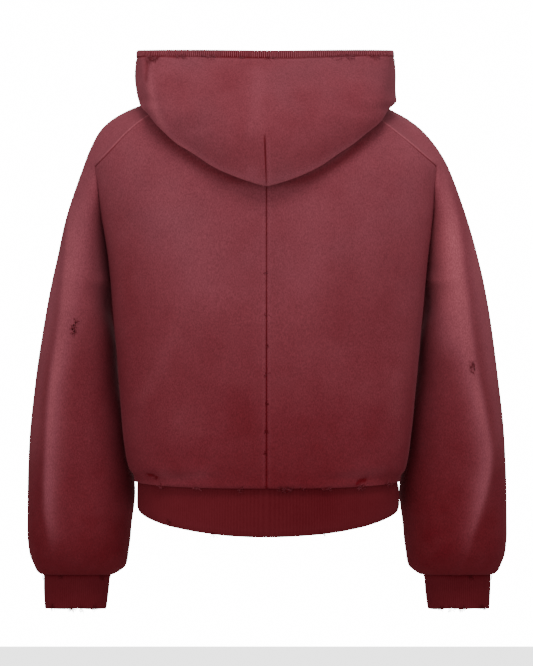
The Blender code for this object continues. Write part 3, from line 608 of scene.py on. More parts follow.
# places in x and z, width to the left and to the right, rise
BACK_FOLDS = (
    (((-0.228, -0.130), (-0.205, -0.240), (-0.195, -0.360), (-0.180, -0.480)), 0.030, 0.036, -0.0030),
    (((-0.150, -0.120), (-0.120, -0.210), (-0.090, -0.330), (-0.085, -0.470)), 0.032, 0.040, 0.0026),
    (((-0.196, -0.470), (-0.160, -0.400), (-0.140, -0.330)), 0.014, 0.018, 0.0014),
    (((0.205, -0.170), (0.190, -0.290), (0.165, -0.420)), 0.034, 0.030, -0.0026),
    (((0.110, -0.180), (0.075, -0.300), (0.050, -0.420)), 0.030, 0.034, 0.0018),
    (((-0.190, -0.545), (-0.140, -0.553), (-0.075, -0.545)), 0.008, 0.010, 0.0018),
    (((0.090, -0.556), (0.140, -0.550), (0.188, -0.540)), 0.008, 0.010, 0.0014),
    (((-0.010, -0.497), (-0.006, -0.507), (-0.008, -0.518)), 0.004, 0.004, 0.0011),
    (((-0.184, -0.5560), (-0.171, -0.5595), (-0.156, -0.5640)), 0.0022, 0.0030, -0.0026),
    (((0.131, -0.5700), (0.141, -0.5655), (0.152, -0.5620)), 0.0030, 0.0022, -0.0026),
)
# Tone marks, in the same columns with a change of tone last: painted shade in the fold troughs and the hem puckers,
# painted highlights on the ridges and the blousing above the hem, and darker and paler patches elsewhere.
BACK_WEAR_AND_SHADING = (
    (((-0.222, -0.120), (-0.215, -0.230), (-0.200, -0.340)), 0.030, 0.034, -0.15),
    (((-0.175, -0.100), (-0.150, -0.160), (-0.105, -0.240), (-0.085, -0.330)), 0.030, 0.034, 0.12),
    (((-0.200, -0.465), (-0.155, -0.395), (-0.135, -0.330)), 0.012, 0.018, 0.10),
    (((-0.150, -0.480), (-0.090, -0.500)), 0.024, 0.024, 0.08),
    (((-0.045, -0.420), (-0.035, -0.510)), 0.026, 0.026, -0.10),
    (((0.075, -0.130), (0.065, -0.200), (0.040, -0.300)), 0.030, 0.034, 0.10),
    (((0.205, -0.170), (0.185, -0.290), (0.165, -0.360)), 0.034, 0.034, -0.14),
    (((0.195, -0.390), (0.190, -0.480)), 0.012, 0.016, 0.10),
    (((0.165, -0.450), (0.160, -0.510)), 0.020, 0.020, -0.08),
    (((-0.170, -0.552), (-0.130, -0.562), (-0.080, -0.556)), 0.007, 0.008, 0.20),
    (((0.100, -0.560), (0.150, -0.556), (0.185, -0.545)), 0.006, 0.008, 0.14),
    (((-0.182, -0.5600), (-0.172, -0.5585), (-0.160, -0.5640)), 0.0012, 0.0012, -0.55),
    (((0.131, -0.5690), (0.140, -0.5655), (0.150, -0.5645)), 0.0012, 0.0012, -0.50),
    (((0.120, -0.220), (0.114, -0.300), (0.105, -0.370)), 0.030, 0.030, -0.15),
)
HOOD_SHADE = (              # the deep narrow shade right below the hood's fold
    (((-0.180, -0.022), (-0.1395, -0.064), (-0.0953, -0.0955), (-0.051, -0.1160), (0.000, -0.1290)), 0.0075,
     0.0055, -0.50),
    (((0.180, -0.024), (0.1475, -0.0575), (0.1034, -0.0930), (0.059, -0.1155), (0.000, -0.1290)), 0.0055,
     0.0075, -0.50),
)
SIDE_CREASE_TOP = -0.100
HEM_SWELL = 0.0028
HEM_HANG = 0.0050


def side_crease(points):
    """Return how near each point is to the crease where the back turns round to the side."""
    right = body["half"](points[..., 2]) - np.abs(points[..., 0] - askew(points[...,
                                                                                2]) * np.sign(points[..., 0]))
    return bell(right, 0.0030) * ease((SIDE_CREASE_TOP - points[..., 2]) / 0.03)


def torso_grid(in_front, side):
    """Return a half panel's grid of points on one side, and whether its faces turn over."""
    share, rise = by_length(lambda s, r: torso_surface(s, r, in_front))
    right = torso_surface(share, rise, in_front)
    return on_side(right, side), (side < 0) != in_front


def make_torso(name, in_front, side, folds, tone_marks):
    """Make one half of the back or of the front, and return it with its outer face."""
    grid, flip = torso_grid(in_front, side)
    normals = normals_of(grid, flip)
    edges = edges_of(grid)
    away = nearest(edges)
    hem = bell(edges["bottom"], 0.018)
    relief = press(grid, folds) + 0.0010 * wave(grid, 9.0, 3.0) + 0.0004 * wave(grid, 28.0, 8.0)
    relief += hem * (0.0016 * wave(grid, 38.0, 12.0) + 0.0007 * wave(grid, 90.0, 15.0))
    relief = relief * ease(away / 0.012) + rise_from(away)
    relief += HEM_SWELL * bell(edges["bottom"] - 0.0045, 0.0038)
    straight = np.minimum.reduce([edges[edge] for edge in ("left", "bottom", "right")])
    # The given marks paint shade and highlights along the folds, and on the back the shade under the hood; the seams
    # are dark lines.
    wear_and_shading = press(grid, tone_marks) + seam_wear(straight, dark=0.80, width=0.0008) + seam_wear(edges["top"],
                                                                                        dark=1.0, pale=0.0)
    # A painted highlight: a thin pale line where the panel turns round to the side.
    wear_and_shading += 0.34 * side_crease(grid)
    surface = grid + normals * relief[..., None]
    tucked = 1 - bell(edges["bottom"], 0.0012)
    surface[..., 2] -= HEM_HANG * bell(edges["bottom"] - 0.0035, 0.0030) * tucked
    piece = sew_on(shell(name, surface, normals, FLEECE, flip, wear_and_shading=wear_and_shading), fleece)
    return piece, surface, normals


back_faces = {}
for word, side in SIDES.items():
    half_back, *back_faces[word] = make_torso(f"half_back_{word}", False, side, BACK_FOLDS,
                                              BACK_WEAR_AND_SHADING + HOOD_SHADE)
    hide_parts(f"back_{word}")

# The centre back seam, overlocked on the outside: short dark loops that cross it left and right,
# closer and more ragged towards the hem, with a few loose ends.
LOOP_PITCH = 0.0027
surface, normals = back_faces["right"]
steps = places_along(surface[:, 0], LOOP_PITCH, 0.004)
middle = taken_at(surface[:, 0], steps)
out = taken_at(normals[:, 0], steps)
random = np.random.default_rng(7)
ragged = 0.35 + 0.65 * ease((-0.22 - middle[:, 2]) / 0.25)
turn_side = np.where(np.arange(len(steps)) % 2, 1.0, -1.0)
across = (turn_side * 0.0005 + random.normal(0, 0.0003, len(steps))) * ragged
reach = 0.0003 + 0.0008 * ragged * random.uniform(0.2, 1.1, len(steps))
ends = np.stack((across - reach, across, across + reach), axis=1)
paths = middle[:, None] + out[:, None] * 0.0007 + np.stack(
    (ends, np.zeros_like(ends), np.stack((-reach, reach * 0, reach), axis=1) * 0.7), axis=-1)
loops = threads("centre_back_loops", paths, out[:, None], 0.00034, 0.00034, -0.75 - 0.3 * random.uniform(0,
                                                                                                         1, len(steps)))
sew_on(loops, fleece)
CENTRE_FRAYS = tuple((0.0, height, 0.0028, 0.0014, count) for height, count in (
    (-0.170, 3), (-0.255, 4), (-0.318, 5), (-0.362, 4), (-0.405, 6), (-0.448, 5), (-0.492, 8), (-0.528, 6)))
sew_on(fray_clumps("centre_back_frays", surface, normals, CENTRE_FRAYS, 40), fleece)

# The two half fronts, cut like the backs but with a straight edge down the middle for the zip.
FRONT_FOLDS = (
    (((-0.215, -0.180), (-0.190, -0.300), (-0.165, -0.470)), 0.026, 0.032, -0.0030),
    (((-0.100, -0.120), (-0.080, -0.260), (-0.070, -0.480)), 0.028, 0.036, 0.0024),
    (((0.205, -0.180), (0.180, -0.300), (0.160, -0.480)), 0.032, 0.026, -0.0028),
    (((0.090, -0.130), (0.085, -0.300), (0.060, -0.500)), 0.034, 0.028, 0.0024),
    (((-0.180, -0.545), (-0.120, -0.554), (-0.060, -0.548)), 0.008, 0.010, 0.0016),
    (((0.060, -0.552), (0.120, -0.555), (0.180, -0.545)), 0.008, 0.010, 0.0016),
)
# Painted shade in the fold troughs and painted highlights on the ridges and the blousing above the hem.
FRONT_FOLD_SHADING = (
    (((-0.215, -0.150), (-0.200, -0.330)), 0.030, 0.030, -0.12),
    (((-0.095, -0.110), (-0.080, -0.280), (-0.070, -0.420)), 0.026, 0.034, 0.10),
    (((0.090, -0.110), (0.085, -0.280), (0.070, -0.430)), 0.032, 0.026, 0.11),
    (((0.205, -0.160), (0.190, -0.340)), 0.030, 0.030, -0.12),
    (((-0.150, -0.556), (-0.080, -0.560)), 0.007, 0.008, 0.16),
    (((0.080, -0.560), (0.150, -0.556)), 0.007, 0.008, 0.16),
)
front_faces = {}
for word, side in SIDES.items():
    half_front, *front_faces[word] = make_torso(f"half_front_{word}", True, side, FRONT_FOLDS, FRONT_FOLD_SHADING)
    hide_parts(f"front_{word}")

# The rows of stitching that hold the fronts to the zip, a few millimetres from each front's edge.
STITCH_PITCH = 0.0038
STITCH_LENGTH = 0.0030
STITCH_INSET = 0.0062
for word, side in SIDES.items():
    surface, normals = front_faces[word]
    inset = seam_distance(surface, "left")
    columns = [int(np.argmin(np.abs(row - STITCH_INSET))) for row in inset]
    line = np.stack([row[column] for row, column in zip(surface, columns)])
    outs = np.stack([row[column] for row, column in zip(normals, columns)])
    line[:, 0] = side * (ZIP_HALF_OPENING + STITCH_INSET)
    steps = places_along(line, STITCH_PITCH, 0.002, 0.002)
    along = unit(taken_at(np.gradient(line, axis=0), steps))
    middle, out = taken_at(line, steps), taken_at(outs, steps)
    sink = np.array((-0.0002, 0.0004, 0.0005, 0.0004, -0.0002))[:, None]
    paths = middle[:, None] + along[:, None] * np.linspace(-0.5, 0.5, 5)[:, None] * STITCH_LENGTH + out[:,
                                                                                                        None] * sink
    sew_on(threads(f"zip_stitching_{word}", paths, out[:, None], 0.00032, 0.00026, -0.10), fleece)

# The two raglan sleeves, each one wide piece with its seam under the arm. They reach the neckline
# between front and back, and are gathered into the cuffs.
SLEEVE = {
    "height": (0.034, 0.018, -0.006, -0.027, -0.045, -0.072, -0.0945, -0.147, -0.192, -0.237, -0.270,
               -0.330, -0.420, -0.510, -0.582, -0.645, -0.675, -0.695, -0.7035, -0.7075, -0.7095),
    "outer": (0.100, 0.138, 0.182, 0.2205, 0.2415, 0.2600, 0.2710, 0.2892, 0.3030, 0.3145, 0.3222,
              0.3335, 0.3465, 0.3560, 0.3585, 0.3592, 0.3565, 0.3495, 0.3450, 0.3405, 0.3365),
    "centre": (0.000, 0.000, 0.000, 0.000, 0.010, 0.040, 0.080, 0.165, 0.212, 0.245, 0.2678,
               0.2793, 0.2828, 0.2825, 0.2790, 0.2825, 0.2830, 0.2815, 0.2843, 0.2855, 0.2855),
    "middle_y": (0.000, -0.002, -0.006, -0.009, -0.011, -0.012, -0.012, -0.008, -0.002, 0.006, 0.014,
                 0.036, 0.049, 0.056, 0.059, 0.060, 0.060, 0.060, 0.060, 0.060, 0.060),
    "back_y": (-0.078, -0.088, -0.106, -0.118, -0.123, -0.125, -0.122, -0.106, -0.092, -0.082, -0.076,
               -0.063, -0.050, -0.040, -0.029, -0.022, -0.014, 0.000, 0.013, 0.021, 0.029),
    "front_y": (0.052, 0.056, 0.064, 0.073, 0.078, 0.079, 0.077, 0.080, 0.084, 0.090, 0.096,
                0.106, 0.116, 0.124, 0.132, 0.136, 0.132, 0.118, 0.106, 0.098, 0.091),
}
SLEEVE_SQUARENESS = (2.1, 2.1)
SLEEVE_END = -0.7095
SLEEVE_FULLNESS = 0.026
SLEEVE_SEAM_REACH = 0.30
SLEEVE_GIRTH = 0.46
SLEEVE_BELOW_ARMPIT = 0.45
TEAR_REACH = 0.0125
TEAR_STEP = 0.0008
SLEEVE_LEAVES_OUTWARD = np.array((3.0, 5.0, 1.5))
SLEEVE_ROUND_DROP = 0.10
INNER = {False: -0.5 * math.pi, True: 1.5 * math.pi}
sleeve = curves_of(SLEEVE)


def sleeve_section(angle, height):
    """Return points of the sleeve's full section: pi/2 is its outer edge, -pi/2 its inner one."""
    height = np.asarray(height, float)
    centre = sleeve["centre"](height)
    sizes = (sleeve["outer"](height) - centre, *(sleeve[name](height) for name in ("middle_y", "back_y",
                                                                                   "front_y")))
    x, y = section(angle, sizes, SLEEVE_SQUARENESS)
    return np.stack(np.broadcast_arrays(centre + x, y, height), axis=-1)


def sleeve_edge(height, in_front):
    """Return the sleeve's angle and true place at the armhole, or at the underarm seam."""
    corner = RAGLAN_CORNER[in_front]
    level = np.maximum(height, ARMPIT)
    place = body_point(armhole_angle(level, in_front), level)
    centre = sleeve["centre"](level)
    fullness = SLEEVE_FULLNESS * ease((corner - level) / (corner - ARMPIT))
    half = sleeve["outer"](level) - centre
    start = angle_at(place[..., 0] + fullness - centre, half, SLEEVE_SQUARENESS, in_front)
    inner = INNER[in_front]
    drop = ease((ARMPIT - height) / SLEEVE_ROUND_DROP)
    offset = place - sleeve_section(inner, level)
    below = sleeve_section(inner, height) + offset * (1 - drop)[..., None]
    return mix(start, inner, drop), np.where((height >= ARMPIT)[..., None], place, below)


def sleeve_place(turn, back_height, front_height, top_share):
    """Return points between the sleeve's two edges, before the neckline draws it in."""
    collar_turn = mix(BACK_NECK_TURN, FRONT_NECK_TURN, turn)
    flat = mix(armhole_height(0, False), armhole_height(0, True), turn)
    height = mix(back_height, front_height, turn) + (neck_height(collar_turn) - flat) * top_share ** 2
    back_angle, back_place = sleeve_edge(back_height, False)
    front_angle, front_place = sleeve_edge(front_height, True)
    straight = mix(neck_angle(BACK_NECK_TURN), neck_angle(FRONT_NECK_TURN), turn)
    angle = mix(back_angle, front_angle, turn) + (neck_angle(collar_turn) - straight) * top_share ** 3
    back_pull = np.maximum(1 - turn / SLEEVE_SEAM_REACH, 0.0)[..., None] ** SLEEVE_LEAVES_OUTWARD
    front_pull = np.maximum(1 - (1 - turn) / SLEEVE_SEAM_REACH, 0.0)[..., None] ** SLEEVE_LEAVES_OUTWARD
    back_offset = back_place - sleeve_section(back_angle, back_height)
    front_offset = front_place - sleeve_section(front_angle, front_height)
    return sleeve_section(angle, height) + back_offset * back_pull + front_offset * front_pull


def sleeve_surface(turn, drop):
    """Return sleeve points by turn, back seam to front, and drop: 0 collar, 1 armpit, 2 cuff."""
    down = np.clip(drop, 0, 1)
    below = mix(ARMPIT, SLEEVE_END, np.clip(drop - 1, 0, 1))
    heights = [np.where(drop < 1, armhole_height(down, in_front), below) for in_front in (False, True)]
    collar_turn = mix(BACK_NECK_TURN, FRONT_NECK_TURN, turn)
    collar = body_point(neck_angle(collar_turn), neck_height(collar_turn))
    top = [np.full_like(turn, armhole_height(0, in_front)) for in_front in (False, True)]
    ones = np.ones_like(turn)
    drawn = (collar - sleeve_place(turn, *top, ones)) * ((1 - down) ** 3)[..., None]
    return sleeve_place(turn, *heights, 1 - down) + drawn


def sleeve_grid(more_turns=(), more_drops=()):
    """Return a right sleeve's grid, the row from which it is closed, and its turns and drops."""
    fine = np.linspace(0, 2, LINE_SAMPLES)
    drops = spaced(sleeve_surface(np.full(LINE_SAMPLES, 0.5), fine), fine)
    drops[np.argmin(np.abs(drops - 1))] = 1.0
    drops = np.unique(np.concatenate((drops, more_drops)))
    turn, drop = np.meshgrid(np.unique(np.concatenate((grid_lines(SLEEVE_GIRTH), more_turns))), drops)
    return sleeve_surface(turn, drop), int(np.argmin(np.abs(drops - 1))), turn, drop


def fine_lines_at(x, z, side):
    """Return closely spaced turns and drops around a place on the back of a sleeve."""
    coarse, armpit_row, turn, drop = sleeve_grid()
    grid = on_side(coarse, side)
    place = shown_at(grid, normals_of(grid, side > 0, armpit_row), x, z)
    spread = np.arange(-TEAR_REACH, TEAR_REACH, TEAR_STEP)
    return turn[place] + spread / SLEEVE_GIRTH, drop[place] + spread / SLEEVE_BELOW_ARMPIT


SLEEVE_CREASE = {            # the long crease down the back of each sleeve
    "left": ((-0.2600, -0.098), (-0.2790, -0.1245), (-0.2850, -0.147), (-0.2930, -0.237), (-0.3035, -0.337),
             (-0.3175, -0.437), (-0.3240, -0.5445), (-0.3255, -0.6045), (-0.3180, -0.6795)),
    "right": ((0.2590, -0.096), (0.2775, -0.177), (0.2910, -0.282), (0.3045, -0.387), (0.3210, -0.477),
              (0.3285, -0.5295), (0.3225, -0.582), (0.3075, -0.642), (0.2970, -0.6825)),
}
SLEEVE_FOLDS = {
    "left": (
        (SLEEVE_CREASE["left"], 0.015, 0.030, 0.0056),
        (((-0.2330, -0.200), (-0.2220, -0.340), (-0.2180, -0.480)), 0.026, 0.022, -0.0036),
        (((-0.3120, -0.575), (-0.2960, -0.610), (-0.2780, -0.645)), 0.012, 0.010, 0.0018),
        (((-0.2420, -0.560), (-0.2600, -0.620), (-0.2560, -0.670)), 0.014, 0.014, 0.0018),
        (((-0.2700, -0.700), (-0.2780, -0.690), (-0.2900, -0.684)), 0.004, 0.005, 0.0016),
    ),
    "right": (
        (SLEEVE_CREASE["right"], 0.030, 0.015, 0.0056),
        (((0.2330, -0.200), (0.2260, -0.340), (0.2210, -0.480)), 0.022, 0.026, -0.0036),
        (((0.2500, -0.570), (0.2620, -0.620), (0.2700, -0.670)), 0.014, 0.014, -0.0016),
        (((0.2700, -0.705), (0.2760, -0.696), (0.2850, -0.686)), 0.004, 0.005, 0.0018),
    ),
}
# Paler marks on the back of each sleeve: along the crease a stripe that is partly faded cloth and partly a painted
# highlight, and painted light that lifts the shade on the outer sides and beside the body, and on the right sleeve also
# between the body and the crease.
SLEEVE_FADE_AND_PAINTED_LIGHT = {
    "left": (
        (SLEEVE_CREASE["left"], 0.0060, 0.0180, 0.62),
        (SLEEVE_CREASE["left"][4:], 0.0055, 0.0110, 0.34),
        (((-0.2400, -0.130), (-0.2440, -0.237), (-0.2440, -0.340)), 0.022, 0.016, 0.34),
        (((-0.3080, -0.200), (-0.3260, -0.320), (-0.3400, -0.430), (-0.3480, -0.560)), 0.016, 0.014, 0.34),
    ),
    "right": (
        (SLEEVE_CREASE["right"], 0.0190, 0.0070, 0.66),
        (SLEEVE_CREASE["right"][3:], 0.0100, 0.0055, 0.26),
        (((0.2980, -0.160), (0.3120, -0.240), (0.3300, -0.350), (0.3460, -0.470), (0.3520, -0.560)), 0.014,
         0.016, 0.50),
        (((0.2450, -0.150), (0.2600, -0.230), (0.2680, -0.310), (0.2780, -0.390)), 0.022, 0.022, 0.42),
        (((0.2400, -0.130), (0.2450, -0.237), (0.2440, -0.340)), 0.016, 0.022, 0.38),
    ),
}
FRONT_SLEEVE_FOLDS = (
    (((0.262, -0.150), (0.286, -0.300), (0.300, -0.430), (0.306, -0.560), (0.296, -0.680)), 0.012, 0.028,
     0.0036),
    (((0.234, -0.240), (0.226, -0.380), (0.222, -0.560)), 0.022, 0.026, -0.0036),
    (((0.316, -0.340), (0.280, -0.400), (0.240, -0.430)), 0.014, 0.018, 0.0024),
    (((0.262, -0.704), (0.270, -0.694), (0.282, -0.684)), 0.004, 0.005, 0.0016),
)
TEARS = {                    # worn holes, each of a few joined gaps: x and z from behind, and half sizes
    "left": ((-0.2845, -0.3300, 0.0009, 0.0022), (-0.2866, -0.3345, 0.0015, 0.0022), (-0.2885, -0.3390,
                                                                                      0.0012, 0.0020),
             (-0.2862, -0.3432, 0.0014, 0.0024)),
    "right": ((0.3052, -0.3905, 0.0006, 0.0026), (0.3062, -0.3950, 0.0008, 0.0028), (0.3074, -0.4005, 0.0006,
                                                                                     0.0024)),
}
TEAR_FRAYS = {
    "left": ((-0.2845, -0.3272, 0.0014, 0.0012, 7), (-0.2878, -0.3368, 0.0022, 0.0024, 12), (-0.2868,
                                                                                             -0.3462, 0.0016, 0.0012, 8)),
    "right": ((0.3080, -0.3935, 0.0014, 0.0018, 10), (0.3062, -0.3990, 0.0010, 0.0024, 6), (0.3078, -0.4035,
                                                                                            0.0010, 0.0012, 5)),
}
TEAR_STRANDS = 7
WELT = 0.0012                           # rise of the narrow welt on the sleeve's side of each raglan seam
for word, side in SIDES.items():
    tears = np.array(TEARS[word])
    right_sleeve, armpit_row, _, drop = sleeve_grid(*fine_lines_at(*tears[:, :2].mean(axis=0), side))
    grid = on_side(right_sleeve, side)
    flip = side > 0
    normals = normals_of(grid, flip, armpit_row)
    behind = ease(0.5 - 1.5 * normals[..., 1])
    mirrored = grid * (side, 1, 1)
    edges = edges_of(grid)
    away = nearest(edges)
    gathers = bell(edges["top"], 0.014)
    relief = press(grid, SLEEVE_FOLDS[word]) * behind + press(mirrored, FRONT_SLEEVE_FOLDS) * (1 - behind)
    relief += 0.0010 * wave(grid, 10.0, 5.0)
    relief += gathers * (0.0015 * wave(grid, 55.0, 17.0) + 0.0006 * wave(grid, 120.0, 19.0))
    apart = np.stack([((grid[..., 0] - x) / width) ** 2 + ((grid[..., 2] - z) / height) ** 2 for x, z, width,
                      height in tears])
    apart = np.sqrt(apart.min(axis=0)) + 0.35 * wave(grid, 900.0, 3.0)
    behind_only = normals[..., 1] < 0
    torn = (apart < 1) & behind_only
    round_tear = np.exp(-np.clip(apart - 1, 0, None) ** 2 / 0.8) * behind_only
    relief = relief * ease(away / 0.012) + rise_from(away, 0.0014) + 0.0005 * round_tear
    # Behind, the given marks; in front, each fold's height scaled up: a painted highlight on its ridge and painted
    # shade in its trough.
    wear_and_shading = press(grid, SLEEVE_FADE_AND_PAINTED_LIGHT[word]) * behind + 80 * press(mirrored, FRONT_SLEEVE_FOLDS) * (1 - behind)
    wear_and_shading += seam_wear(away, dark=0.45, pale=0.10) - 0.18 * round_tear
    raglan_edge = np.minimum(edges["left"], edges["right"])
    on_raglan = ease((grid[..., 2] + 0.098) / 0.008)
    relief += WELT * bell(raglan_edge - 0.0026, 0.0015) * on_raglan
    # A painted highlight along the welt, and a thin dark stitch line beside it.
    wear_and_shading += (0.60 * bell(raglan_edge - 0.0026, 0.0015)
             - 0.26 * bell(raglan_edge - 0.0056, 0.0011)) * on_raglan
    wear_and_shading += 0.12 * ease((grid[..., 2] + 0.15) / 0.06)
    surface = grid + normals * relief[..., None]
    sleeve_piece = shell(f"raglan_sleeve_{word}", surface, normals, FLEECE, flip, armpit_row, wear_and_shading, torn)
    sew_on(sleeve_piece, fleece)
    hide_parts(f"sleeve_{word}")
    strands = []
    random = np.random.default_rng(90 + side)
    for x, z, width, height in tears:
        place, out, along = spot(surface, normals, x, z)
        across = np.linspace(-1.3, 1.3, 7)[:, None] * width * along
        for _ in range(TEAR_STRANDS):
            rise = np.array((0.0, 0.0, 1.0)) * height * (random.uniform(-0.9, 0.9) + random.uniform(-0.5,
                                                                                                    0.5, (7,
                                                                                                          1)) * 0.5)
            strands.append(place + across + rise - out * random.uniform(0.0002, 0.0012))
    strand_shades = random.uniform(-0.8, 0.3, len(strands))
    torn_strands = sew_on(threads(f"tear_strands_{word}", strands, (0.0, -1.0, 0.2), 0.00024, 0.00024,
                                  strand_shades),
                          fleece)
    torn_frays = sew_on(fray_clumps(f"tear_frays_{word}", surface, normals, TEAR_FRAYS[word], 95 + side,
                                    palest=0.35), fleece)

# The hood, cut in one with a dart at the crown, and worn down. It rises from the neck seam, turns
# over, lies on the shoulders and doubles back up to its wide open face edge.
HOOD = {
    "turn": (0.00, 0.15, 0.28, 0.40, 0.50, 0.62, 0.75, 0.88, 1.00),
    "fold_angle": (0.0, 10.9, 22.8, 43.0, 90.0, 127.0, 152.0, 167.0, 178.6),
    "fold_z": (-0.1300, -0.1068, -0.0738, -0.0270, -0.0040, -0.0080, -0.0320, -0.0580, -0.0720),
    "stand": (0.024, 0.020, 0.017, 0.013, 0.008, 0.010, 0.013, 0.013, 0.012),
    "puff": (0.036, 0.034, 0.026, 0.014, 0.007, 0.010, 0.014, 0.012, 0.006),
    "rim_x": (0.000, 0.082, 0.150, 0.190, 0.193, 0.168, 0.122, 0.066, 0.010),
    "rim_y": (-0.124, -0.122, -0.112, -0.076, -0.026, 0.030, 0.074, 0.104, 0.112),
    "rim_z": (0.0765, 0.0765, 0.0765, 0.0760, 0.0730, 0.0620, 0.0360, -0.0050, -0.0360),
}
HOOD_PUFF_SHARE = 0.42
HOOD_NECK_ROLL = 0.0055
HOOD_LAST_KNOT = 0.67
HOOD_STEP = 0.0048
HOOD_EDGE_LINES = (0.0, 0.0011, 0.0023, 0.0036, 0.0049, 0.0061, 0.0071, 0.0081, 0.0091, 0.0101, 0.0111,
                   0.0122, 0.0133, 0.0144, 0.0165)
HOOD_WIDEST_LINE = 2.3
HOOD_SOFTENING_ROUNDS = 12
HOOD_SPREAD = {-1: 0.003, 1: 0.021}      # how much wider the fold lies over each shoulder
hood = curves_of(HOOD)


def body_normal(angle, height):
    """Return the direction straight out of the torso's outer face."""
    around = body_point(angle + 0.01, height) - body_point(angle - 0.01, height)
    along = body_point(angle, height + 0.001) - body_point(angle, height - 0.001)
    return unit(np.cross(around, along))


def hood_under(turn, share):
    """Return points of the layer that lies on the shoulders, from the neck to the fold."""
    angle = mix(neck_angle(turn), np.radians(hood["fold_angle"](turn)), share)
    height = mix(neck_height(turn), hood["fold_z"](turn), share)
    stand = mix(2 * HOOD_NECK_ROLL, hood["stand"](turn), share ** 1.5)
    return body_point(angle, height) + body_normal(angle, height) * stand[..., None]


def hood_surface(turn, line):
    """Return hood points by turn and by line: 0 neck seam, 1 rolled over, 2 fold, 3 face edge."""
    place = body_point(neck_angle(turn), neck_height(turn))
    normal = body_normal(neck_angle(turn), neck_height(turn))
    rise = unit(np.array((0.0, 0.0, 1.0)) - normal * normal[..., 2:])
    bend = (math.pi * np.clip(line, 0, 1))[..., None]
    rolled = place + (normal * (1 - np.cos(bend)) + rise * np.sin(bend)) * HOOD_NECK_ROLL
    under = hood_under(turn, np.clip(line - 1, 0, 1))
    fold = hood_under(turn, np.ones_like(turn))
    rim = np.stack([hood[name](turn) for name in ("rim_x", "rim_y", "rim_z")], axis=-1)
    outward = body_normal(np.radians(hood["fold_angle"](turn)), hood["fold_z"](turn)) * (1, 1, 0)
    full = mix(fold, rim, HOOD_PUFF_SHARE) + unit(outward) * hood["puff"](turn)[..., None]
    knots = (hood_under(turn, np.full_like(turn, HOOD_LAST_KNOT)), fold, full, rim, 2 * rim - full)
    along = 2 * np.clip(line - 2, 0, 1)
    outer = np.zeros_like(under)
    for first in (0, 1):
        a, b, c, d = knots[first:first + 4]
        t = np.clip(along - first, 0, 1)[..., None]
        curve = 0.5 * (2 * b + (c - a) * t + (2 * a - 5 * b + 4 * c - d) * t ** 2
                       + (3 * b - a - 3 * c + d) * t ** 3)
        outer = np.where((along >= first)[..., None], curve, outer)
    line = line[..., None]
    return np.where(line < 1, rolled, np.where(line < 2, under, outer))


def hood_grid():
    """Return the hood's grid from the left front over the middle to the right front, and its lines."""
    fine = np.linspace(0, 3, LINE_SAMPLES)
    lines = spaced(hood_surface(np.zeros(LINE_SAMPLES), fine), fine, HOOD_STEP, HOOD_EDGE_LINES)
    around = hood_surface(fine / 3, np.full(LINE_SAMPLES, HOOD_WIDEST_LINE))
    turns = spaced(around, fine / 3, HOOD_STEP, HOOD_EDGE_LINES)
    turn, line = np.meshgrid(turns, lines)
    right = hood_surface(turn, line)
    softness = (0.5 * bell(line - 2, 0.16))[..., None]
    fold_row = int(np.argmin(np.abs(lines - 2)))
    fold = right[fold_row].copy()
    for _ in range(HOOD_SOFTENING_ROUNDS):
        right[1:-1] += softness[1:-1] * ((right[:-2] + right[2:]) / 2 - right[1:-1])
    right += (fold - right[fold_row]) * bell(line - 2, 0.3)[..., None]
    left, right = on_side(right, -1), on_side(right, 1)
    for half, side in ((left, -1), (right, 1)):
        spread = bell(half[..., 2] + 0.027, 0.030) * ease((side * half[..., 0] - 0.10) / 0.06)
        half[..., 0] += side * HOOD_SPREAD[side] * spread * ease((line - 1.0) / 0.6)
    grid = np.concatenate((left[:, :0:-1], right), axis=1)
    return grid, np.concatenate((line[:, :0:-1], line), axis=1)


HOOD_FOLDS = (
    (((-0.1755, 0.060), (-0.1740, -0.004), (-0.1620, -0.030), (-0.1455, -0.0525), (-0.1200, -0.087)),
     0.010, 0.006, 0.0024),
    (((-0.1800, 0.066), (-0.1785, 0.048), (-0.1790, 0.020)), 0.004, 0.004, -0.0016),
    (((-0.0150, 0.0560), (-0.0195, -0.0195), (-0.0330, -0.0645)), 0.009, 0.016, 0.0022),
    (((-0.1000, 0.020), (-0.0950, -0.050)), 0.030, 0.030, -0.0020),
    (((0.1380, 0.050), (0.1300, -0.030)), 0.034, 0.034, -0.0018),
)
# Painted highlights on the ridges, painted shade in the troughs and in the groove on the left, and darker and paler
# patches elsewhere.
HOOD_WEAR_AND_SHADING = (
    (((-0.1745, 0.058), (-0.1725, 0.024), (-0.1650, -0.0105), (-0.1515, -0.0435), (-0.1200, -0.087)),
     0.009, 0.0050, 0.34),
    (((-0.1790, 0.066), (-0.1785, 0.050), (-0.1795, 0.024)), 0.0030, 0.0028, -0.42),
    (((-0.1930, 0.040), (-0.1950, 0.000)), 0.012, 0.012, 0.10),
    (((-0.0150, 0.0600), (-0.0195, -0.0195), (-0.0330, -0.0645)), 0.009, 0.015, 0.16),
    (((-0.0500, 0.050), (-0.0560, 0.010)), 0.014, 0.014, -0.10),
    (((-0.1400, 0.050), (-0.1280, 0.010), (-0.1050, -0.050)), 0.028, 0.028, -0.26),
    (((0.0500, 0.020), (0.0550, -0.050)), 0.034, 0.034, -0.10),
    (((0.1400, 0.030), (0.1320, -0.020)), 0.030, 0.030, -0.08),
    (((-0.0300, -0.100), (-0.0120, -0.112)), 0.010, 0.010, 0.16),
)
HOOD_DART = ((-0.0495, -0.123), (-0.0030, -0.0002))      # the crown dart: heights of its ends, and their x
RIM_BAND = curve_through((-0.190, -0.120, -0.040, 0.030, 0.090, 0.120, 0.190),
                         (0.0116, 0.0118, 0.0122, 0.0126, 0.0116, 0.0104, 0.0098))
RIM_SAG = 0.0012
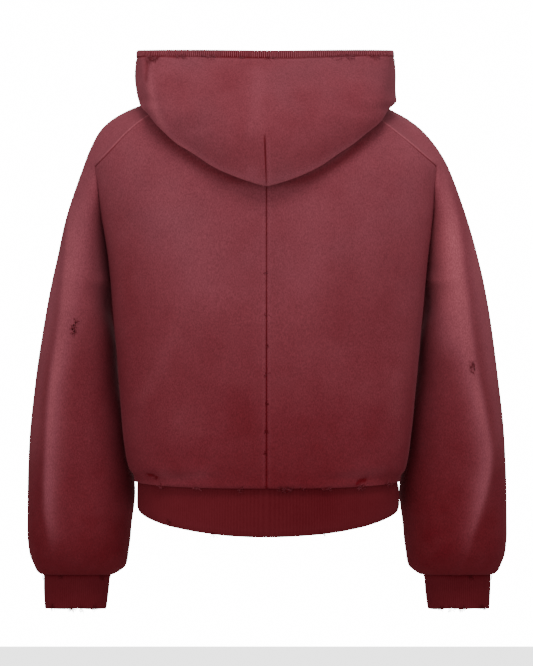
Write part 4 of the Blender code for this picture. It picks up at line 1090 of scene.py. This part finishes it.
RIM_FRAYS = (                # x and z seen from behind, half width, hang and threads
    (-0.1750, 0.0660, 0.0050, 0.0040, 20), (-0.1680, 0.0655, 0.0085, 0.0070, 56), (-0.1260, 0.0665, 0.0065,
                                                                                   0.0030, 30),
    (-0.0840, 0.0655, 0.0100, 0.0040, 50), (0.0060, 0.0635, 0.0070, 0.0035, 32), (0.1060, 0.0660, 0.0095,
                                                                                  0.0035, 46),
    (0.1230, 0.0665, 0.0065, 0.0040, 34), (0.1620, 0.0665, 0.0075, 0.0045, 38), (-0.0350, 0.0655, 0.0050,
                                                                                 0.0016, 12),
)
RIM_PITCH = 0.0031
grid, line = hood_grid()
grid[..., 2] -= RIM_SAG * bell(grid[..., 0] - 0.01, 0.07) * ease((line - 2.7) / 0.3)
normals = normals_of(grid, False)
edges = edges_of(grid)
outer = ease((line - 2.02) / 0.1)
relief = press(grid, HOOD_FOLDS) * ease((line - 2.05) / 0.2) + 0.0012 * wave(grid, 11.0,
                                                                             21.0) * ease((line - 1) / 0.5)
relief += 0.0005 * wave(grid, 30.0, 22.0) * outer
relief *= ease(nearest(edges) / 0.02)
dart_x = np.interp(-grid[..., 2], (-HOOD_DART[0][0], -HOOD_DART[0][1]), HOOD_DART[1])
dart = bell(grid[..., 0] - dart_x, 0.0010) * ease((HOOD_DART[0][0] - grid[..., 2]) / 0.008) * outer
beside = bell(grid[..., 0] - dart_x - 0.0055, 0.0030) * ease((HOOD_DART[0][0] - grid[..., 2]) / 0.02) * outer
from_rim = edges["top"]
rim_reach = RIM_BAND(grid[..., 0])
in_rim = ease((rim_reach + 0.0004 - from_rim) / 0.0008)
groove = bell(from_rim - rim_reach - 0.0008, 0.0009)
lip = bell(from_rim - rim_reach - 0.0030, 0.0014)
relief += -0.0014 * dart + 0.0006 * beside - 0.0006 * in_rim - 0.0009 * groove + 0.0005 * lip
# A painted shadow below each clump of frays on the face edge.
shade = tuple((((x - width * 0.6, z - 0.001), (x + width * 0.6, z - 0.001)), 0.0035, 0.0035, -0.08)
              for x, z, width, _, _ in RIM_FRAYS)
# Painted shade over the layers under the fold; the hood is also a little darker outside its left part.
wear_and_shading = (press(grid, HOOD_WEAR_AND_SHADING + shade) - 0.19 * ease((grid[...,
                                                           0] + 0.13) / 0.06)) * outer - 0.35 * ease((1.96
                                                                                                      - line) / 0.1)
# A painted highlight along the edge of the fold.
wear_and_shading += 0.50 * bell(line - 2.08, 0.080)
# The dart is a dark line with a painted highlight on the ridge beside it; at the face edge, painted shade under and
# between the stitches and in the groove below them, and a painted highlight on the lip.
wear_and_shading += -0.9 * dart + 0.12 * beside - 0.85 * in_rim - 0.65 * groove + 0.10 * lip
surface = grid + normals * relief[..., None]
hood_piece = sew_on(shell("hood_one_piece", surface, normals, FLEECE, False, wear_and_shading=wear_and_shading), fleece)
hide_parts("hood")

# The hood's face edge, bound with close upright stitches over the raw edge. They are worn loose in
# places, where curls of thread stand out below them.
steps = places_along(surface[-1], RIM_PITCH, 0.002, 0.002)
edge_rows = slice(len(surface) - 16, None)
columns = taken_at(surface[edge_rows].transpose(1, 0, 2), steps)
outs = taken_at(normals[edge_rows].transpose(1, 0, 2), steps)
below = taken_at(from_rim[edge_rows].T, steps)
random = np.random.default_rng(11)
reaches = RIM_BAND(columns[:, -1, 0]) * random.uniform(0.90, 1.03, len(steps))
paths = []
for column, out, far, reach in zip(columns, outs, below, reaches):
    downs = reach * np.array((1.0, 0.75, 0.5, 0.25, 0.0))
    on_face = np.stack([np.interp(downs, far[::-1], column[::-1, i]) for i in range(3)], axis=1)
    inner = np.stack([np.interp((0.0, 0.0035), far[::-1], column[::-1, i]) for i in range(3)], axis=1)
    top = unit(column[-1] - column[-3]) * 0.0004
    paths.append(np.concatenate((on_face + out[-1] * 0.0003, [column[-1] - out[-1] * FLEECE / 2 + top],
                                 inner - out[-1] * (FLEECE + 0.0003))))
shades = 0.24 + random.uniform(-0.18, 0.14, len(steps))
rim_stitches = threads("face_edge_stitches", paths, outs[:, -1:], 0.00088, 0.00060, shades, taper=0.35)
sew_on(rim_stitches, fleece)
sew_on(fray_clumps("face_edge_frays", surface, normals, RIM_FRAYS, 60, palest=0.14), fleece)

# The hem band, a doubled strip of rib sewn round the bottom, open at the zip. It draws the fleece
# in, which hangs over it.
RIB = 0.0030
BAND = {"share": (0.0, 0.3, 0.8, 1.0), "half": (0.1945, 0.1962, 0.1968, 0.1945), "side_y": (-0.020,) * 4,
        "back_y": (-0.1275, -0.1300, -0.1295, -0.1260), "front_y": (0.1105, 0.1125, 0.1120, 0.1095)}
BAND_BOTTOM = -0.612
BAND_DROP = {False: 0.040, True: 0.022}
BAND_ROUNDNESS = 0.62
BAND_LEAVES_SEAM = 0.15
RIB_PITCH = 0.0026
RIB_RISE = 0.00011
RIB_SAMPLES = 6
band = curves_of(BAND)


def rib_material():
    """Return rib knit in deep wine, paler on the ribs and darker in the furrows: partly wear, partly painted shade and
    highlights.
    """
    material, start, principled = new_material("rib_knit")
    place = start.make("TexCoord", output=3)
    clouds = place.noise(9.0, 3.0, 0.55)
    grain = place.stretched(1.0, 1.0, 0.3).noise(700.0, 3.0, 0.7)
    wear_and_shading = start.make("Attribute", {"attribute_name": "wear_and_shading"}, {}, output=2)
    share = (wear_and_shading * 0.25 + (clouds - 0.5) * 0.8 + (grain - 0.5) * 0.5 + 0.35).ranged(0, 1,
                                                                                     interpolation="LINEAR")
    colour = blend_colours(share, (0.104, 0.0056, 0.0095), (0.195, 0.024, 0.034))
    normal = start.make("Bump", {}, {"Height": grain, "Strength": 0.4, "Distance": 0.0005})
    feed_cloth(principled, colour, 0.92, normal)
    return material


rib_knit = rib_material()


def band_half(in_front, shares, downs):
    """Return the right half band's points, from the middle to the side seam and from the hem seam down."""
    share, down = np.meshgrid(shares, downs)
    seam = torso_surface(share, np.zeros_like(share), in_front)
    middle = float(body_angle(ZIP_HALF_OPENING, HEM_SEAM, True)) if in_front else 0.0
    sizes = [band[name](down) for name in ("half", "side_y", "back_y", "front_y")]
    x, y = section(mix(middle, SIDE_SEAM_ANGLE, share), sizes, BODY_SQUARENESS)
    if in_front:
        x = np.maximum(x, ZIP_HALF_OPENING)
    bottom = BAND_BOTTOM - BAND_DROP[in_front] * np.maximum(1 - (x / sizes[0]) ** 2, 0) ** BAND_ROUNDNESS
    hanging = np.stack((x, y, mix(seam[..., 2], bottom, down)), axis=-1)
    leaves = ease(down / BAND_LEAVES_SEAM)[..., None]
    x_y = mix(seam, hanging, leaves)
    return np.concatenate((x_y[..., :2], hanging[..., 2:]), axis=-1)


def rib_lines(length):
    """Return evenly spaced places for whole ribs along a length, and the rise of the rib at each."""
    ribs = round(length / RIB_PITCH)
    count = ribs * RIB_SAMPLES + 1
    return np.linspace(0, 1, count), RIB_RISE * np.cos(np.arange(count) * 2 * math.pi / RIB_SAMPLES)


def folded_edge(distance, thickness):
    """Return how much thinner a doubled strip is at its turned edge, by distance from it."""
    half = thickness / 2
    inside = np.clip(half - distance, 0, half)
    return thickness - 2 * np.sqrt(np.maximum(half ** 2 - inside ** 2, 1e-9))


BAND_HALF_LENGTHS = {False: 0.235, True: 0.175}
RIB_ROWS = np.array((0.0, 0.03, 0.07, 0.14, 0.26, 0.42, 0.58, 0.74, 0.87, 0.945, 0.975, 0.992, 1.0))
halves = []
rises = []
for in_front in (True, False):
    shares, rise = rib_lines(BAND_HALF_LENGTHS[in_front])
    half = band_half(in_front, shares, RIB_ROWS)
    halves.append(half if in_front else half[:, ::-1])
    rises.append(rise if in_front else rise[::-1])
right = np.concatenate((halves[0], halves[1][:, 1:]), axis=1)
rise = np.concatenate((rises[0], rises[1][1:]))
band_shift = curve_through((-0.660, -0.582, -0.566), (0.0024, 0.0024, float(askew(-0.566))))
grid = np.concatenate((on_side(right, 1, band_shift), on_side(right, -1, band_shift)[:, -2::-1]), axis=1)
rise = np.concatenate((rise, rise[-2::-1]))
normals = normals_of(grid, False)
below = seam_distance(grid, "top")
thinner = folded_edge(below, RIB)
edges = edges_of(grid)
from_zip = ease(np.minimum(edges["left"], edges["right"]) / 0.03)
relief = rise * ease(below / 0.004) + 0.0010 * wave(grid, 14.0, 31.0) * from_zip - thinner / 2
relief += 0.0007 * wave(grid, 40.0, 33.0) * from_zip
relief *= ease(edges["bottom"] / 0.004)
# Paler on the ribs and darker between them, partly wear and partly painted shade; a painted shadow along the hem seam
# under the overhanging fleece, and a painted highlight along the turned lower edge.
wear_and_shading = rise / RIB_RISE * 0.3 + 0.5 - 1.6 * bell(edges["bottom"], 0.0045) + 0.5 * bell(below, 0.003)
behind = ease(0.5 - 1.5 * normals[..., 1])
wear_and_shading -= 0.9 * bell(grid[..., 0] - 0.045, 0.085) * behind
# A painted highlight: a soft pale stripe low on the band behind.
wear_and_shading += 0.5 * bell(below - 0.011, 0.006) * behind
surface = grid + normals * relief[..., None]
band_piece = sew_on(shell("hem_rib", surface, normals, RIB - thinner, False, wear_and_shading=wear_and_shading), rib_knit)
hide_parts("hem_band")

# The hem seam, overlocked: the fleece hangs over it, and worn loops and curls of thread show below
# the fleece's edge.
HEM_FRAYS = tuple((x, -0.590, half_width, hang, count) for x, half_width, hang, count in (
    (-0.1600, 0.0045, 0.0016, 22), (-0.1050, 0.0035, 0.0014, 12), (-0.0405, 0.0040, 0.0014, 14),
    (0.0285, 0.0095, 0.0030, 70), (0.0905, 0.0050, 0.0018, 22), (0.1430, 0.0055, 0.0020, 30),
    (0.1845, 0.0055, 0.0018, 22), (0.0560, 0.0030, 0.0010, 8)))
HEM_LOOP_PITCH = 0.0040
lowest = slice(1, 5)
hem_edge, hem_outs = (np.concatenate((back_faces["left"][i][lowest, ::-1], back_faces["right"][i][lowest,
                                                                                                  1:]), axis=1)
                      for i in (0, 1))
sew_on(fray_clumps("hem_frays", hem_edge, hem_outs, HEM_FRAYS, 120, palest=0.60), fleece)
steps = places_along(surface[0], HEM_LOOP_PITCH, 0.004, 0.004)
top = taken_at(surface[0], steps)
below_top = taken_at(surface[1], steps)
out = taken_at(normals[0], steps)
random = np.random.default_rng(21)
lengths = random.uniform(0.4, 1.3, len(steps))[:, None]
side_step = np.roll(top, -1, axis=0) - top
side_step[-1] = side_step[-2]
paths = np.stack([top + out * 0.0004, mix(top, below_top, 0.5 * lengths) + out * 0.0011 + side_step * 0.10,
                  mix(top, below_top, lengths) + out * 0.0006 + side_step * 0.22], axis=1)
hem_loops = threads("hem_loops", paths, out[:, None], 0.00045, 0.00045, random.uniform(-1.0, -0.4,
                                                                                       len(steps)))
sew_on(hem_loops, fleece)
EDGE_NICKS = ((-0.1450, -0.6275, 0.0025, 0.0016, 8), (-0.0780, -0.6470, 0.0030, 0.0018, 10), (0.0840,
                                                                                              -0.6460, 0.0025, 0.0018, 9))
sew_on(fray_clumps("hem_edge_frays", surface, normals, EDGE_NICKS, 140), rib_knit)

# The cuffs, doubled tubes of the same rib, into which the wide sleeves are gathered.
CUFF_LENGTH = 0.0515
CUFF_MIDDLE_Y = 0.060
CUFF = {"share": (0.00, 0.15, 0.85, 1.00), "centre": (0.2860, 0.2862, 0.2876, 0.2880),
        "half": (0.0480, 0.0496, 0.0472, 0.0460), "depth": (0.0290, 0.0305, 0.0285, 0.0275)}
CUFF_GIRTH = 0.250
cuff = curves_of(CUFF)
CUFF_FRAYS = {               # along the lower edge and then along the seam
    "left": ((-0.3225, -0.7590, 0.0026, 0.0026, 16), (-0.2925, -0.7600, 0.0040, 0.0024, 22), (-0.2780,
                                                                                              -0.7600, 0.0030, 0.0020, 12),
             (-0.2600, -0.7595, 0.0034, 0.0024, 18), (-0.3360, -0.7130, 0.0024, 0.0020, 12), (-0.3105,
                                                                                              -0.7105, 0.0030, 0.0016, 12),
             (-0.2460, -0.7130, 0.0026, 0.0022, 14)),
    "right": ((0.2630, -0.7595, 0.0030, 0.0026, 18), (0.2780, -0.7600, 0.0030, 0.0018, 12), (0.2930, -0.7600,
                                                                                             0.0034, 0.0024, 18),
              (0.3240, -0.7575, 0.0030, 0.0022, 16), (0.3080, -0.7130, 0.0024, 0.0018, 12), (0.3420, -0.7110,
                                                                                             0.0028, 0.0020, 14)),
}
for word, side in SIDES.items():
    turns, rise = rib_lines(CUFF_GIRTH)
    turn, down = np.meshgrid(turns, RIB_ROWS)
    seam = sleeve_surface(turn, np.full_like(turn, 2.0))
    angle = mix(INNER[False], INNER[True], turn)
    hanging = np.stack((cuff["centre"](down) + cuff["half"](down) * np.sin(angle),
                        CUFF_MIDDLE_Y - cuff["depth"](down) * np.cos(angle),
                        SLEEVE_END - CUFF_LENGTH * down), axis=-1)
    leaves = ease(down / BAND_LEAVES_SEAM)[..., None]
    grid = on_side(np.concatenate((mix(seam, hanging, leaves)[..., :2], hanging[..., 2:]), axis=-1), side)
    grid[..., 2] += 0.0010 * (wave(grid, 45.0, 52.0) - 0.3) * ease(down)
    normals = normals_of(grid, side > 0, 0)
    below = seam_distance(grid, "top")
    from_seam = seam_distance(grid, "bottom")
    thinner = folded_edge(below, RIB)
    relief = rise * ease(below / 0.004) + 0.0006 * wave(grid, 18.0, 41.0) - thinner / 2
    relief *= ease(from_seam / 0.004)
    # Paler on the ribs and darker between them, partly wear and partly painted shade, and painted shade along the seam
    # with the gathered sleeve.
    wear_and_shading = rise / RIB_RISE * 0.5 + 0.2 - 1.6 * bell(from_seam, 0.0040)
    surface = grid + normals * relief[..., None]
    cuff_piece = shell(f"cuff_rib_{word}", surface, normals, RIB - thinner, side > 0, 0, wear_and_shading)
    sew_on(cuff_piece, rib_knit)
    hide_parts(f"cuff_{word}")
    cuff_frays = sew_on(fray_clumps(f"cuff_frays_{word}", surface + normals * 0.0004, normals,
                                    CUFF_FRAYS[word], 160 + side),
                        rib_knit)

# The zip: a woven tape sewn behind each front edge, and a chain of metal teeth that mesh below the
# slider. The slider, its pull tab, the stops and the box at the lower end are nickel, worn matt.
TAPE = 0.0009
TAPE_EDGES = (0.0012, 0.0145)
TAPE_COLUMNS = 12
TAPE_SET_BACK = RIB + 0.0003
TAPE_FALLS_OFF = 0.0003
ZIP_POINTS = 150                       # along the fronts, and along the band
ZIP_BAND_POINTS = 24


def tape_material():
    """Return the zip tape's close herringbone weave."""
    material, start, principled = new_material("zip_tape")
    place = start.make("TexCoord", output=3)
    rising = start.make("TexWave", {"bands_direction": "DIAGONAL"},
                        {"Vector": place.stretched(1.0, 0.0, 1.0), "Scale": 260.0, "Distortion": 0.4})
    falling = start.make("TexWave", {"bands_direction": "DIAGONAL"},
                         {"Vector": place.stretched(-1.0, 0.0, 1.0), "Scale": 260.0, "Distortion": 0.4})
    weave = (rising + falling) * 0.5
    tone_marks = place.noise(60.0, 3.0, 0.6)
    colour = blend_colours((weave * 0.7 + tone_marks * 0.5 - 0.2).ranged(0, 1, interpolation="LINEAR"),
                           (0.060, 0.006, 0.010), (0.150, 0.024, 0.034))
    normal = start.make("Bump", {}, {"Height": weave, "Strength": 0.5, "Distance": 0.0003})
    feed(principled, Base_Color=colour, Roughness=0.85, Specular_IOR_Level=0.25, Normal=normal)
    return material


def nickel_material():
    """Return antique nickel: pale where it is rubbed, darker and rougher in its dull patches."""
    material, start, principled = new_material("zip_nickel")
    place = start.make("TexCoord", output=3)
    dull = place.noise(420.0, 4.0, 0.65).ranged(0.35, 0.70)
    scratch = place.stretched(4.0, 1.0, 0.3).noise(1800.0, 2.0, 0.6)
    colour = blend_colours(dull, (0.52, 0.49, 0.46), (0.30, 0.28, 0.26))
    normal = start.make("Bump", {}, {"Height": scratch, "Strength": 0.15, "Distance": 0.0001})
    feed(principled, Base_Color=colour, Metallic=1.0, Roughness=dull.ranged(0, 1, 0.30, 0.52, "LINEAR"),
         Normal=normal)
    return material


zip_tape = tape_material()
zip_nickel = nickel_material()
rises = np.linspace(1, 0, ZIP_POINTS)
line = np.concatenate((torso_surface(np.zeros(ZIP_POINTS), rises, True),
                       band_half(True, np.array((0.0,)), np.linspace(0, 1, ZIP_BAND_POINTS))[1:, 0]))
down = unit(np.gradient(line, axis=0) * (0, 1, 1))
out = np.stack((np.zeros(len(line)), -down[:, 2], down[:, 1]), axis=1)
line = line - out * TAPE_SET_BACK
across = np.linspace(*TAPE_EDGES, TAPE_COLUMNS)
for word, side in SIDES.items():
    grid = np.repeat(line[:, None], TAPE_COLUMNS, axis=1)
    grid[..., 0] = side * across
    grid[..., 1] -= TAPE_FALLS_OFF * ((across - across[0]) / (across[-1] - across[0])) ** 2
    normals = np.repeat(out[:, None], TAPE_COLUMNS, axis=1)
    tape = shell(f"woven_tape_{word}", grid, normals, TAPE, side < 0)
    sew_on(tape, zip_tape)
    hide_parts(f"zip_tape_{word}")

TOOTH = ((-0.0012, 0.00042), (-0.0008, 0.00058), (0.0002, 0.00060), (0.0010, 0.00044), (0.0032, 0.00050))
TOOTH_LAYERS = ((-0.00150, 0.82), (-0.00125, 1.0), (0.00045, 1.0), (0.00075, 0.80))
TOOTH_PITCH = 0.0026
slider_low, slider_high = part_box("zip_slider")
box_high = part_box("zip_box")[1][2]
outline = np.array([*TOOTH, *[(x, -z) for x, z in TOOTH[::-1]]])
centre = outline.mean(axis=0)
start_at = float(np.interp(-(slider_low[2] + slider_high[2]) / 2, -line[:, 2], seam_distance(line[None],
                                                                                             "left")[0]))
stop_at = float(np.interp(-box_high, -line[:, 2], seam_distance(line[None], "right")[0]))
corners = len(outline)
layers = len(TOOTH_LAYERS)
for word, side in SIDES.items():
    offset = TOOTH_PITCH / 2 * (side > 0)
    steps = places_along(line, TOOTH_PITCH, start_at + offset, stop_at)
    middle, outs, runs = taken_at(line, steps), taken_at(out, steps), taken_at(down, steps)
    points = []
    for depth, size in TOOTH_LAYERS:
        shape = centre + (outline - centre) * size
        points.append(middle[:, None] * (0, 1, 1) + shape[:, :1] * (side, 0, 0) - runs[:, None] * shape[:, 1:]
                      + outs[:, None] * depth)
    points = np.stack(points, axis=1)
    index = np.arange(len(steps) * layers * corners).reshape(len(steps), layers, corners)
    here, there = index[:, :-1], index[:, 1:]
    quads = np.stack((here, np.roll(here, -1, 2), np.roll(there, -1, 2), there), axis=-1).reshape(-1, 4)
    caps = np.concatenate((index[:, 0, ::-1], index[:, -1]))
    if side > 0:
        quads, caps = quads[:, ::-1], caps[:, ::-1]
    mesh = bpy.data.meshes.new(f"zip_teeth_{word}")
    mesh.from_pydata(points.reshape(-1, 3).tolist(), [], quads.tolist() + caps.tolist())
    sew_on(stand(f"zip_teeth_{word}", mesh), zip_nickel)
for name in ("zip_slider", "zip_pull", "zip_stop_left", "zip_stop_right", "zip_box"):
    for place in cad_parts[name].material_slots:
        place.material = zip_nickel

# The studio: a white floor well below the garment, which hangs free, soft even light from the
# front, and a camera straight behind the garment at the height of its middle.
FLOOR_Z = -1.60
CAMERA_PLACE = (0.0, -24.0, -0.3465)
CAMERA_LENS = 865.0
ROOM_LIGHT = 0.515
SEEN_WHITE = 16.0

floor_mesh = bpy.data.meshes.new("floor")
floor_mesh.from_pydata([(-40, -40, FLOOR_Z), (40, -40, FLOOR_Z), (40, 40, FLOOR_Z), (-40, 40, FLOOR_Z)], [],
                       [(0, 1, 2, 3)])
floor = stand("floor", floor_mesh)
material, start, principled = new_material("floor_paint")
feed(principled, Base_Color=(0.90, 0.90, 0.90), Roughness=0.8, Emission_Color=(1.0, 1.0, 1.0),
     Emission_Strength=2.5)
floor.visible_diffuse = False
floor.visible_glossy = False
floor_mesh.materials.append(material)

world = bpy.data.worlds.new("studio")
world.use_nodes = True
sky = world.node_tree.nodes["Background"]
sky.inputs["Color"].default_value = (1.0, 1.0, 1.0, 1.0)
seen = Shade(world.node_tree).make("LightPath")
world.node_tree.links.new((seen * (SEEN_WHITE - ROOM_LIGHT) + ROOM_LIGHT).socket, sky.inputs["Strength"])
bpy.context.scene.world = world
for name, place, aim, width, power in (
    ("key", (0.3, -2.6, 3.4), (0.0, 0.0, -0.25), 1.6, 72.0),
    ("front", (-0.4, -4.0, 0.0), (0.0, 0.0, -0.40), 1.8, 24.0),
    ("behind", (0.4, 4.0, 1.6), (0.0, 0.0, -0.30), 2.4, 60.0),
):
    light = bpy.data.lights.new(name, "AREA")
    light.size = width
    light.energy = power
    lamp = stand(name, light)
    lamp.location = place
    lamp.rotation_euler = (Vector(aim) - Vector(place)).to_track_quat("-Z", "Y").to_euler()

camera_data = bpy.data.cameras.new("camera")
camera_data.lens = CAMERA_LENS
camera_data.sensor_width = 36.0
camera_data.clip_end = 90.0
camera = stand("camera", camera_data)
camera.location = CAMERA_PLACE
camera.rotation_euler = (math.radians(90), 0.0, 0.0)
bpy.context.scene.camera = camera
